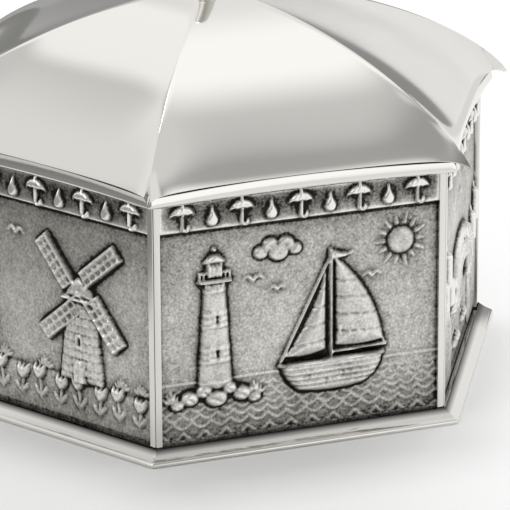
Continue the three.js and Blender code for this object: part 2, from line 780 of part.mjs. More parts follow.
const lid = new THREE.Group();
lid.add(named('lid_canopy', lidCanopy(), 'polished'));
lid.add(named('lid_rim', lidRim(), 'polished'));
lid.add(named('lid_collar', lidCollar(), 'satin'));
lid.add(named('finial', finial(), 'polished'));

const coinBox = new THREE.Group();
coinBox.add(body, lid, named('base_stopper', baseStopper(), 'rubber'));

export default coinBox;
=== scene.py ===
"""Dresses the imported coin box: cast relief walls, polished umbrella lid, mouldings, stage and camera."""

import math

import bmesh
import bpy
import numpy as np
from bpy.props import FloatProperty, FloatVectorProperty, PointerProperty
from mathutils import Matrix, Vector


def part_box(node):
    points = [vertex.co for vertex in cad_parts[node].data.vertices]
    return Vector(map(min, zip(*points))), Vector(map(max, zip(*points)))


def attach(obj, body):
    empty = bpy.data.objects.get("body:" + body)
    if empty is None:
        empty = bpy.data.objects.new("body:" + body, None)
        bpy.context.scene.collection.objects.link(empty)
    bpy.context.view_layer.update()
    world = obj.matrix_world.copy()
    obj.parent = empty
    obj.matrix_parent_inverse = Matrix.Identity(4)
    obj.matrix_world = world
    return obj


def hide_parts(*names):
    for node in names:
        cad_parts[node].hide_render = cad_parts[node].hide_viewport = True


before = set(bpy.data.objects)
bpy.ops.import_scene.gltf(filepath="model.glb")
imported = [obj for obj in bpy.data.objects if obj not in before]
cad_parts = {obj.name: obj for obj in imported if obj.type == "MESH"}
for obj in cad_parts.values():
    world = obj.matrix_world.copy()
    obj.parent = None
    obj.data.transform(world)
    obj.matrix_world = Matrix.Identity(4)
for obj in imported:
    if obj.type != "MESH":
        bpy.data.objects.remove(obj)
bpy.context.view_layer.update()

bl_info = {
    "name": "Umbrella Coin Box",
    "version": (1, 0, 0),
    "blender": (4, 5, 0),
    "location": "View3D > Sidebar > Coin Box",
    "description": "Builds the looks of a hexagonal pewter coin box around its packed frame",
    "category": "Object",
}

MM = 0.001
FACES = 6
FACE_TURN = 2 * math.pi / FACES
HALF_TURN = FACE_TURN / 2

# Places of the CAD nodes, in millimetres
CANOPY_LOW, CANOPY_HIGH = (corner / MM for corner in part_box("lid_canopy"))
RIM_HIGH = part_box("lid_rim")[1] / MM
WALL_LOW, WALL_HIGH = (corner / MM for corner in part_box("wall_panel_1"))
POST_LOW, POST_HIGH = (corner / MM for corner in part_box("corner_post_2"))
PLINTH_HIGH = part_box("plinth")[1] / MM
FINIAL_LOW, FINIAL_HIGH = (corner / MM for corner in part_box("finial"))
STOPPER_LOW, STOPPER_HIGH = (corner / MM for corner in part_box("base_stopper"))

ARRIS = POST_HIGH.x
FACE_APOTHEM = ARRIS * math.cos(HALF_TURN)
# How much further a relief goes under the posts than its solid, and half its width
POST_OVERLAP = 0.28
WALL_REACH = WALL_HIGH.x + POST_OVERLAP


# Settings

def linear(code):
    """sRGB hex colour as linear RGBA."""
    channels = [int(code[i:i + 2], 16) / 255 for i in (1, 3, 5)]
    return [c / 12.92 if c <= 0.04045 else ((c + 0.055) / 1.055) ** 2.4 for c in channels] + [1.0]


def in_mm(name, description, millimetres):
    """Setting of a length, written in millimetres."""
    return FloatProperty(name=name, description=description, default=millimetres * MM, unit="LENGTH")


def in_degrees(name, description, degrees):
    """Setting of an angle, written in degrees."""
    return FloatProperty(name=name, description=description, default=math.radians(degrees), subtype="ANGLE")


def in_watts(name, description, watts):
    """Setting of a lamp's power."""
    return FloatProperty(name=name, description=description, default=watts, unit="POWER")


def in_hex(name, description, code):
    """Setting of a colour, written as sRGB hex."""
    return FloatVectorProperty(name=name, description=description, default=linear(code), subtype="COLOR",
                               size=4, min=0, max=1)


class LidSettings(bpy.types.PropertyGroup):
    """Sizes of the umbrella lid that its solids leave open."""

    canopy_rise: in_mm("Canopy rise", "From the tips up to the apex", 19.0)
    gore_sag: in_mm("Gore sag", "How far a gore dips in between its ridges at the hem", 1.6)
    beak_reach: in_mm("Beak reach", "How far the tips stand out from the gores", 1.1)
    beak_drop: in_mm("Beak drop", "Of the tips below the hem beside them", 0.75)
    hem_arch: in_mm("Hem arch", "Rise of the hem from beside the tips to its middle", 0.5)
    ridge_round: in_mm("Ridge rounding", "Width on each gore that the rounding of a ridge takes", 0.9)
    lip_thickness: in_mm("Lip thickness", "Of the shell at the hem", 0.6)
    shell_thickness: in_mm("Shell thickness", "At the apex", 1.5)
    slot_length: in_mm("Slot length", "Of the coin slot", 31)
    slot_width: in_mm("Slot width", "Of the coin slot", 4.6)
    slot_apothem: in_mm("Slot place", "Distance of the slot from the box's axis", 31)


class WallSettings(bpy.types.PropertyGroup):
    """Sizes of the cast walls."""

    cell: in_mm("Relief cell", "Spacing of the relief's vertices", 0.14)
    field_recess: in_mm("Field recess", "Of the picture field behind the posts' facets", 0.85)
    band_rise: in_mm("Band rise", "Of the ornament band over the picture field", 0.5)
    band_height: in_mm("Band height", "Of the ornament band", 4.8)
    rail_rise: in_mm("Rail rise", "Of the foot rail over the picture field", 0.2)
    rail_height: in_mm("Rail height", "Of the foot rail", 0.85)


class FinishSettings(bpy.types.PropertyGroup):
    """Colours of the metal and of the stopper."""

    polished: in_hex("Polished pewter", "Reflection colour of buffed pewter", "#e4e2dd")
    worn: in_hex("Worn highs", "Pewter where the dark finish is rubbed off", "#f4f3ef")
    middle: in_hex("Darkened pewter", "Pewter with the dark finish left on", "#b2b0aa")
    # Dark patina of the recesses; the painted shade on the walls and on the polished parts darkens towards
    # this colour too.
    recess: in_hex("Recesses", "Where the dark finish gathers", "#2b2926")
    rubber: in_hex("Stopper rubber", "Soft black rubber", "#2b2b2a")


class StageSettings(bpy.types.PropertyGroup):
    """Camera and lights."""

    lens: FloatProperty(name="Lens", description="Focal length in millimetres", default=272.4)
    azimuth: in_degrees("Azimuth", "Of the camera round the box", -20.467)
    elevation: in_degrees("Elevation", "Of the camera over the floor", 19.463)
    roll: in_degrees("Roll", "Of the camera about its view", -0.2746)
    distance: in_mm("Distance", "From the box's axis", 610.0)
    aside: in_mm("Aside", "Of the camera to its right", 7.006)
    above: in_mm("Above", "Of the camera up its picture", 15.392)
    key_power: in_watts("Key power", "Of the softbox over the back", 0.9)
    fill_power: in_watts("Fill power", "Of the softbox on the left", 0.3)


class CoinBoxSettings(bpy.types.PropertyGroup):
    """All settings of the coin box."""

    lid: PointerProperty(type=LidSettings)
    wall: PointerProperty(type=WallSettings)
    finish: PointerProperty(type=FinishSettings)
    stage: PointerProperty(type=StageSettings)


def settings(kind):
    """One of the scene's groups of settings."""
    return getattr(bpy.context.scene.coin_box, kind)


# Materials

class Nodes:
    """A node tree, emptied, with short ways to add what the materials and the world need."""

    def __init__(self, tree):
        self.tree = tree
        tree.nodes.clear()

    def add(self, kind, inputs=None, **values):
        """Adds a node, sets its values, and fills its inputs with numbers or with other nodes' outputs."""
        made = self.tree.nodes.new("ShaderNode" + kind)
        for name, value in values.items():
            setattr(made, name, value)
        for name, value in (inputs or {}).items():
            if isinstance(value, bpy.types.NodeSocket):
                self.tree.links.new(value, made.inputs[name])
            else:
                made.inputs[name].default_value = value
        return made

    def place(self):
        """Where a point lies in its piece."""
        return self.add("TexCoord").outputs["Object"]

    def attribute(self, name):
        """What a piece's vertices carry under a name."""
        return self.add("Attribute", attribute_name=name, attribute_type="GEOMETRY").outputs["Fac"]

    def noise(self, place, size_mm, detail, roughness=0.5):
        """Noise whose pattern repeats about every size_mm millimetres."""
        return self.add("TexNoise", {"Vector": place, "Scale": 1 / (size_mm * MM), "Detail": detail,
                                     "Roughness": roughness}).outputs["Fac"]

    def compute(self, operation, *values, clamp=False):
        """Arithmetic on some values."""
        made = self.add("Math", dict(enumerate(values)), operation=operation, use_clamp=clamp)
        return made.outputs["Value"]

    def towards(self, place, direction):
        """How far a place or a direction goes along another direction."""
        return self.add("VectorMath", {0: place, 1: direction}, operation="DOT_PRODUCT").outputs["Value"]

    def between(self, value, start, end, low=0.0, high=1.0, ease="LINEAR"):
        """A value carried from one range to another, and held at its ends."""
        return self.add("MapRange", {"Value": value, "From Min": start, "From Max": end, "To Min": low,
                                     "To Max": high}, interpolation_type=ease).outputs["Result"]

    def mix(self, share, first, second, kind="RGBA"):
        """One colour or number that turns into another as the share grows."""
        return self.add("Mix", {"Factor": share, "A": first, "B": second}, data_type=kind).outputs["Result"]

    def ramp(self, value, stops):
        """Colours at given values, and those between them."""
        made = self.add("ValToRGB", {"Fac": value})
        ends = made.color_ramp.elements
        for end, (position, tone) in zip(ends, (stops[0], stops[-1])):
            end.position = position
            end.color = tone
        for position, tone in stops[1:-1]:
            ends.new(position).color = tone
        return made.outputs["Color"]

    def bump(self, height, strength, distance_mm):
        """Small unevenness of the surface."""
        return self.add("Bump", {"Height": height, "Strength": strength,
                                 "Distance": distance_mm * MM}).outputs["Normal"]

    def surface(self, tone, roughness, others):
        """A shader with a colour, a roughness and other inputs by name."""
        inputs = {"Base Color": tone, "Roughness": roughness, **others}
        return self.add("BsdfPrincipled", inputs).outputs["BSDF"]

    def show(self, shader):
        """Makes a shader what the material looks like."""
        self.add("OutputMaterial", {"Surface": shader})


def new_material(name):
    """A node material with nothing in it yet, and its nodes."""
    material = bpy.data.materials.get(name) or bpy.data.materials.new(name)
    material.use_nodes = True
    return material, Nodes(material.node_tree)


def polished_pewter():
    """Buffed cast pewter: a warm silver mirror, a little soft, with faint buffing marks, and patina with
    painted shade in its grooves and creases.
    """
    material, nodes = new_material("polished_pewter")
    finish = settings("finish")
    place = nodes.place()
    # Painted shade with patina: grooves and creases of the polished parts darken towards the recess colour.
    tone = nodes.mix(nodes.attribute("patina_and_shade"), finish.polished, finish.recess)
    haze = nodes.between(nodes.noise(place, 14, 3.0), 0.3, 0.7, 0.05, 0.09)
    rough = nodes.compute("ADD", haze, nodes.attribute("dull"))
    along = nodes.add("Mapping", {"Vector": place, "Scale": (1.0, 1.0, 6.0)}).outputs["Vector"]
    marks = nodes.bump(nodes.noise(along, 0.9, 4.0, 0.6), 0.03, 0.05)
    nodes.show(nodes.surface(tone, rough, {"Metallic": 1.0, "Normal": marks}))
    return material


def oxidised_pewter():
    """Cast pewter, darkened and rubbed: black in the recesses, bright on the highs, with a sandy grain and
    painted shade.
    """
    material, nodes = new_material("oxidised_pewter")
    finish = settings("finish")
    place = nodes.place()
    # Wear with painted shade: rubbed highs and patina in the recesses, with painted shade along the field's
    # edges and under the rim.
    wear_and_shade = nodes.attribute("wear_and_shade")
    grain = nodes.noise(place, 0.42, 2.0, 0.7)
    mottle = nodes.noise(place, 1.3, 3.0)
    blotch = nodes.noise(place, 9, 2.0)
    hold = nodes.between(wear_and_shade, 0.55, 0.95, 0.75, 0.3)
    speck = nodes.compute("SUBTRACT", nodes.compute("MULTIPLY_ADD", mottle, 0.45, grain), 0.725)
    grained = nodes.compute("MULTIPLY_ADD", speck, hold, wear_and_shade)
    patch = nodes.compute("MULTIPLY_ADD", blotch, 0.3, -0.15)
    level = nodes.compute("ADD", grained, patch, clamp=True)
    tone = nodes.ramp(level, ((0.08, finish.recess), (0.5, finish.middle), (0.86, finish.worn)))
    rough = nodes.between(level, 0.0, 1.0, 0.6, 0.26)
    sand = nodes.bump(grain, hold, 0.1)
    nodes.show(nodes.surface(tone, rough, {"Metallic": 1.0, "Normal": sand}))
    return material


def satin_pewter():
    """Pewter as it left the mould: grey, dull, with a fine even grain."""
    material, nodes = new_material("satin_pewter")
    grain = nodes.noise(nodes.place(), 0.8, 4.0)
    tone = nodes.mix(grain, linear("#8f8d88"), linear("#b9b7b1"))
    sand = nodes.bump(grain, 0.3, 0.05)
    nodes.show(nodes.surface(tone, 0.42, {"Metallic": 1.0, "Normal": sand}))
    return material


def stopper_rubber():
    """Moulded soft rubber: near black, matt, with a faint bloom."""
    material, nodes = new_material("stopper_rubber")
    bloom = nodes.noise(nodes.place(), 5, 5.0)
    tone = nodes.mix(bloom, settings("finish").rubber, linear("#3d3c3a"))
    skin = nodes.bump(bloom, 0.2, 0.1)
    nodes.show(nodes.surface(tone, 0.72, {"Normal": skin}))
    return material


# Meshes

def finish_piece(bm, name, material, body, node, sharp_degrees=35):
    """Turns a bmesh in millimetres into a piece that rides on a body and stands for a CAD node."""
    bmesh.ops.scale(bm, vec=(MM, MM, MM), verts=bm.verts)
    mesh = bpy.data.meshes.new(name)
    bm.to_mesh(mesh)
    bm.free()
    mesh.shade_smooth()
    mesh.set_sharp_from_angle(angle=math.radians(sharp_degrees))
    mesh.materials.append(material)
    piece = bpy.data.objects.new(name, mesh)
    bpy.context.scene.collection.objects.link(piece)
    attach(piece, body)
    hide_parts(node)


def mark(bm, name, share):
    """Writes an attribute on each vertex of a piece, for its finish and for its painted shade."""
    layer = bm.verts.layers.float.new(name)
    for vert in bm.verts:
        vert[layer] = share(vert)


def turned(bm, turn):
    """Turns a piece about the box's axis."""
    bmesh.ops.rotate(bm, cent=(0, 0, 0), matrix=Matrix.Rotation(turn, 3, "Z"), verts=bm.verts)
    return bm


def rounded(bm, edges, width, segments):
    """Rounds some edges off."""
    bmesh.ops.bevel(bm, geom=edges, offset=width, offset_type="OFFSET", affect="EDGES", segments=segments,
                    profile=0.5, material=-1)


def boundary(bm):
    """Edges with a face on one side only."""
    return [edge for edge in bm.edges if edge.is_boundary]


def welded_skin(columns, rows, place):
    """Closed skin: a grid with both pairs of opposite edges welded, each vertex put by place(column, row)."""
    bm = bmesh.new()
    bmesh.ops.create_grid(bm, x_segments=columns, y_segments=rows, size=0.5)
    for vert in bm.verts:
        column = round((vert.co.x + 0.5) * columns) % columns
        row = round((vert.co.y + 0.5) * rows) % rows
        vert.co = place(column, row)
    bmesh.ops.remove_doubles(bm, verts=bm.verts, dist=1e-4)
    bmesh.ops.recalc_face_normals(bm, faces=bm.faces)
    return bm


def spun(points, steps):
    """Solid of revolution of a closed or axis-to-axis outline of (radius, height) points, from the X axis."""
    bm = bmesh.new()
    verts = [bm.verts.new((radius, 0, height)) for radius, height in points]
    edges = [bm.edges.new(pair) for pair in zip(verts, verts[1:])]
    if points[0][0] > 0:
        edges.append(bm.edges.new((verts[-1], verts[0])))
    bmesh.ops.spin(bm, geom=verts + edges, cent=(0, 0, 0), axis=(0, 0, 1), dvec=(0, 0, 0),
                   angle=2 * math.pi, steps=steps, use_merge=True, use_duplicate=False)
    bmesh.ops.remove_doubles(bm, verts=bm.verts, dist=1e-4)
    bmesh.ops.recalc_face_normals(bm, faces=bm.faces)
    return bm


def arc(centre, radius, start, end, steps):
    """Points of an arc of (x, y), with its angles in degrees."""
    angles = [math.radians(start + (end - start) * i / steps) for i in range(steps + 1)]
    return [(centre[0] + radius * math.cos(a), centre[1] + radius * math.sin(a)) for a in angles]


# Umbrella lid

RIDGE_OUT = 1.8236
RIDGE_UP = 1.3186
RIDGE_ROUND_MOST = 0.12
SAG_FADE = 2.5
SAG_FLATNESS = 6
BEAK_FADE = 8
BEAK_NARROWNESS = 24
TIP_ROUND = 0.3
TIP_FADE = 30
GORE_COLUMNS = 56
OUTER_ROWS = 64
INNER_ROWS = 24
EYE_ANGLE = 0.03


def bow(across, exponent=2):
    """Bow between two ridges: 1 in the middle and 0 at both of them."""
    return 1 - abs(across) ** exponent


def gore_point(ridge_radius, dip, across, height, rounding=0.0):
    """Point of the gore that faces -Y, across from -1 to 1 between its ridges, which are rounded off."""
    half_side = ridge_radius * math.sin(HALF_TURN)
    apothem = ridge_radius * math.cos(HALF_TURN) - dip
    point = Vector((across * half_side, -apothem, height))
    from_ridge = (1 - abs(across)) * half_side
    if from_ridge < rounding:
        inward = rounding / 4 * (1 - from_ridge / rounding) ** 2
        side = math.copysign(1, across)
        point -= inward * Vector((side * math.sin(HALF_TURN), -math.cos(HALF_TURN), 0))
    return point


def around(columns, column):
    """Turn of a column's gore about Z, and its place across that gore, with more columns near the ridges."""
    face, step = divmod(column, columns)
    across = math.sin(math.pi / 2 * (2 * step / columns - 1))
    return Matrix.Rotation(face * FACE_TURN, 3, "Z"), across


class Skin:
    """One skin of the umbrella: ridges that are superellipses, with gores stretched between them."""

    def __init__(self, inset, rise):
        lid = settings("lid")
        self.tip = CANOPY_LOW.z
        self.radius = CANOPY_HIGH.x - inset
        self.rise = rise
        self.sag = lid.gore_sag / MM
        self.beak = lid.beak_reach / MM
        self.rounding = lid.ridge_round / MM

    def angle_at(self, height):
        """Ridge angle, from 0 at the apex, at a height."""
        share = max(0.0, height - self.tip) / self.rise
        return math.acos(min(1.0, share ** (RIDGE_UP / 2)))

    def point(self, angle, across):
        """Place on the skin at a ridge angle and a place across the gore."""
        share = math.sin(angle) ** (2 / RIDGE_OUT)
        radius = self.radius * share
        height = self.tip + self.rise * max(0.0, math.cos(angle)) ** (2 / RIDGE_UP)
        sag = self.sag * share ** SAG_FADE * bow(across, SAG_FLATNESS)
        beak = self.beak * share ** BEAK_FADE * bow(across, BEAK_NARROWNESS)
        rounding = self.rounding + (TIP_ROUND - self.rounding) * share ** TIP_FADE
        return gore_point(radius, sag + beak, across, height, min(rounding, RIDGE_ROUND_MOST * radius))


def hem_height(across, beak=True):
    """Height of the hem's lower edge: a low arch that drops to the tips."""
    lid = settings("lid")
    drop = lid.beak_drop / MM * (bow(across, BEAK_NARROWNESS) if beak else 1)
    return CANOPY_LOW.z + drop + lid.hem_arch / MM * bow(across)


def open_slot(bm):
    """Cuts the coin slot through both skins of the rear gore and closes its walls."""
    lid = settings("lid")
    half_length = lid.slot_length / MM / 2
    half_width = lid.slot_width / MM / 2
    middle = lid.slot_apothem / MM
    planes = [((half_length, 0, 0), (1, 0, 0)), ((-half_length, 0, 0), (1, 0, 0)),
              ((0, middle + half_width, 0), (0, 1, 0)), ((0, middle - half_width, 0), (0, 1, 0))]
    for spot, normal in planes:
        near = [f for f in bm.faces if f.calc_center_median().y > middle - 4 * half_width
                and abs(f.calc_center_median().x) < 1.2 * half_length]
        edges = {e for f in near for e in f.edges}
        verts = {v for f in near for v in f.verts}
        bmesh.ops.bisect_plane(bm, geom=near + list(edges) + list(verts), dist=1e-5,
                               plane_co=spot, plane_no=normal)
    inside = []
    for face in bm.faces:
        centre = face.calc_center_median()
        if abs(centre.x) < half_length and abs(centre.y - middle) < half_width:
            inside.append(face)
    bmesh.ops.delete(bm, geom=inside, context="FACES")
    open_edges = boundary(bm)
    bmesh.ops.bridge_loops(bm, edges=open_edges)
    bmesh.ops.recalc_face_normals(bm, faces=bm.faces)
    for edge in open_edges:
        edge.smooth = False


def canopy_mesh():
    """Umbrella shell: outer skin from hem to apex, back down the inner skin, round the lip."""
    lid = settings("lid")
    rise = lid.canopy_rise / MM
    outer = Skin(0, rise)
    inner = Skin(lid.lip_thickness / MM, rise - lid.shell_thickness / MM)
    soft = 0.12
    crowding = 1.25
    # From the inner skin to the outer one: share of the way in, and of the lip's rounding down
    lip_path = ((0.94, 0.7), (0.75, 1.0), (0.25, 1.0), (0.06, 0.7))

    def place(column, row):
        turn, across = around(GORE_COLUMNS, column)
        hem = hem_height(across) + soft
        if row <= OUTER_ROWS:
            start = outer.angle_at(hem)
            share = (row / OUTER_ROWS) ** crowding
            return turn @ outer.point(start + (EYE_ANGLE - start) * share, across)
        row -= OUTER_ROWS + 1
        if row <= INNER_ROWS:
            end = inner.angle_at(hem)
            share = row / INNER_ROWS
            return turn @ inner.point(EYE_ANGLE + (end - EYE_ANGLE) * share, across)
        inward, drop = lip_path[row - INNER_ROWS - 1]
        inside = inner.point(inner.angle_at(hem), across)
        outside = outer.point(outer.angle_at(hem), across)
        return turn @ (outside.lerp(inside, inward) - Vector((0, 0, soft * drop)))

    bm = welded_skin(FACES * GORE_COLUMNS, OUTER_ROWS + INNER_ROWS + len(lip_path) + 2, place)
    open_slot(bm)
    return bm


def rim_mesh():
    """Moulding under the hem, leaning back from a low belly, drawn in between the corners as the hem is."""
    columns = 40
    round_rows = 16
    groove = 0.2
    belly = 0.3
    under, under_curve = 0.35, 2.5
    lean, lean_curve = 0.26, 1.3
    sag = 1.3
    corner_round = 0.5
    groove_shade_and_patina = 0.45
    wall_gap, foot_gap = 0.3, 0.04
    inner_radius = (FACE_APOTHEM - settings("wall").field_recess / MM - wall_gap) / math.cos(HALF_TURN)
    foot = WALL_HIGH.z + foot_gap

    def place(column, row):
        turn, across = around(columns, column)
        top = hem_height(across, beak=False) - groove
        if row > round_rows:
            height = top if row == round_rows + 1 else foot
            return turn @ gore_point(inner_radius, 0, across, height)
        share = row / round_rows
        if share < belly:
            inset = under * (1 - share / belly) ** under_curve
        else:
            inset = lean * ((share - belly) / (1 - belly)) ** lean_curve
        radius = RIM_HIGH.x - inset / math.cos(HALF_TURN)
        return turn @ gore_point(radius, sag * bow(across), across, foot + (top - foot) * share, corner_round)

    bm = welded_skin(FACES * columns, round_rows + 3, place)
    bm.normal_update()
    # Painted shade under the hem, with patina in the groove: the rim's upward faces darken.
    mark(bm, "patina_and_shade", lambda vert: groove_shade_and_patina * (vert.normal.z > 0.5))
    return bm


def finial_mesh():
    """Ferrule of the umbrella: a domed cap, a tapered shaft and a rounded end on a stem through the shell."""
    cap_radius = FINIAL_HIGH.x
    cap_gap, cap_height, brim, fullness = 0.15, 1.8, 0.2, 1.4
    foot = CANOPY_LOW.z + settings("lid").canopy_rise / MM + cap_gap
    shaft_radius, tip_radius, stem_radius = 1.5, 1.1, 1.2
    ring = 0.35
    dullness = 0.3
    top = FINIAL_HIGH.z
    steps = 10
    neck, cap_top = shaft_radius + ring, foot + cap_height
    cap = [(neck + (cap_radius - neck) * math.cos(a) ** fullness,
            foot + brim + (cap_top - foot - brim) * math.sin(a) ** fullness)
           for a in (math.pi / 2 * i / steps for i in range(steps))] + [(neck, cap_top)]
    collar = arc((shaft_radius, cap_top + ring), ring, -90, 90, steps)
    end = arc((0, top - tip_radius), tip_radius, 0, 90, steps)
    end[-1] = (0, top)
    outline = [(0, FINIAL_LOW.z), (stem_radius, FINIAL_LOW.z), (stem_radius, foot), (cap_radius, foot)]
    bm = spun(outline + cap + collar + end, 64)
    mark(bm, "dull", lambda vert: dullness)
    return bm


class COINBOX_OT_lid(bpy.types.Operator):
    """Builds the umbrella canopy with its coin slot, the rim under its hem and the ferrule on top."""

    bl_idname = "coin_box.lid"
    bl_label = "Umbrella Lid"

    def execute(self, context):
        pewter = polished_pewter()
        finish_piece(canopy_mesh(), "umbrella_canopy", pewter, "lid", "lid_canopy")
        finish_piece(rim_mesh(), "hem_moulding", pewter, "lid", "lid_rim")
        finish_piece(finial_mesh(), "ferrule", pewter, "lid", "finial")
        return {"FINISHED"}


# Relief of the walls

class Outline:
    """A flat shape on a wall: its bounds and a function that gives the depth inside its edge."""

    def __init__(self, low, high, depth):
        self.low = np.array(low, float)
        self.high = np.array(high, float)
        self.depth = depth


def capsule(start, end, start_radius, end_radius=None):
    """Rounded stroke between two points, with a radius at each end."""
    start, end = np.array(start, float), np.array(end, float)
    end_radius = start_radius if end_radius is None else end_radius
    most = max(start_radius, end_radius)
    run = end - start
    length_squared = max(run @ run, 1e-9)

    def depth(x, z):
        along = np.clip(((x - start[0]) * run[0] + (z - start[1]) * run[1]) / length_squared, 0, 1)
        away = np.hypot(x - start[0] - along * run[0], z - start[1] - along * run[1])
        return start_radius + (end_radius - start_radius) * along - away

    return Outline(np.minimum(start, end) - most, np.maximum(start, end) + most, depth)


def joined(parts):
    """Several shapes as one."""

    def depth(x, z):
        return np.max([part.depth(x, z) for part in parts], axis=0)

    low = np.min([part.low for part in parts], axis=0)
    high = np.max([part.high for part in parts], axis=0)
    return Outline(low, high, depth)


def stroke(points, start_radius, end_radius=None):
    """Rounded line through several points, with its radius changing from one end to the other."""
    end_radius = start_radius if end_radius is None else end_radius
    radii = np.linspace(start_radius, end_radius, len(points))
    return joined([capsule(*ends) for ends in zip(points, points[1:], radii, radii[1:])])


def smooth(points, steps=5):
    """Points of a smooth curve through the given ones."""
    ends = [points[0]] + list(points) + [points[-1]]
    made = []
    for a, b, c, d in zip(*(np.array(ends[i:len(ends) - 3 + i], float) for i in range(4))):
        for t in np.arange(steps) / steps:
            bend = 2 * a - 5 * b + 4 * c - d + t * (3 * (b - c) + d - a)
            made.append(tuple(b + 0.5 * t * (c - a + t * bend)))
    return made + [tuple(points[-1])]


def oval(centre, half_width, half_height=None):
    """Upright ellipse or a circle."""
    half_height = half_height or half_width
    most = max(half_width, half_height)
    least = min(half_width, half_height)

    def depth(x, z):
        return (1 - np.hypot((x - centre[0]) / half_width, (z - centre[1]) / half_height)) * least

    return Outline(np.array(centre) - most, np.array(centre) + most, depth)


def leaf(start, end, half_width):
    """Pointed oval between two points."""
    start, end = np.array(start, float), np.array(end, float)
    run = end - start
    length = math.hypot(*run)
    radius = (length * length / 4 + half_width * half_width) / (2 * half_width)
    middle = (start + end) / 2
    side = np.array([-run[1], run[0]]) / length * (radius - half_width)

    def depth(x, z):
        one = radius - np.hypot(x - middle[0] - side[0], z - middle[1] - side[1])
        other = radius - np.hypot(x - middle[0] + side[0], z - middle[1] + side[1])
        return np.minimum(one, other)

    return Outline(np.minimum(start, end) - half_width, np.maximum(start, end) + half_width, depth)


def polygon(points):
    """Shape with straight sides, given in either order."""
    corners = np.array(points, float)

    def depth(x, z):
        nearest = np.full(x.shape, 1e9)
        inside = np.zeros(x.shape, bool)
        for (ax, az), (bx, bz) in zip(corners, np.roll(corners, -1, axis=0)):
            dx, dz = bx - ax, bz - az
            along = np.clip(((x - ax) * dx + (z - az) * dz) / (dx * dx + dz * dz), 0, 1)
            nearest = np.minimum(nearest, np.hypot(x - ax - along * dx, z - az - along * dz))
            if dz:
                crosses = (az > z) != (bz > z)
                inside ^= crosses & (x < ax + (z - az) / dz * dx)
        return np.where(inside, nearest, -nearest)

    return Outline(corners.min(axis=0), corners.max(axis=0), depth)


def rectangle(low, high):
    """Upright rectangle between two corners."""
    return polygon([low, (high[0], low[1]), high, (low[0], high[1])])


def curved(points, bows, steps=10):
    """Polygon whose sides bow out to their right by the given amounts."""
    made = []
    for start, end, bow_out in zip(points, points[1:] + points[:1], bows):
        dx, dz = end[0] - start[0], end[1] - start[1]
        length = math.hypot(dx, dz)
        count = steps if bow_out else 1
        for share in np.arange(count) / count:
            out = 4 * bow_out * share * (1 - share)
            x = start[0] + dx * share + dz / length * out
            made.append((x, start[1] + dz * share - dx / length * out))
    return polygon(made)


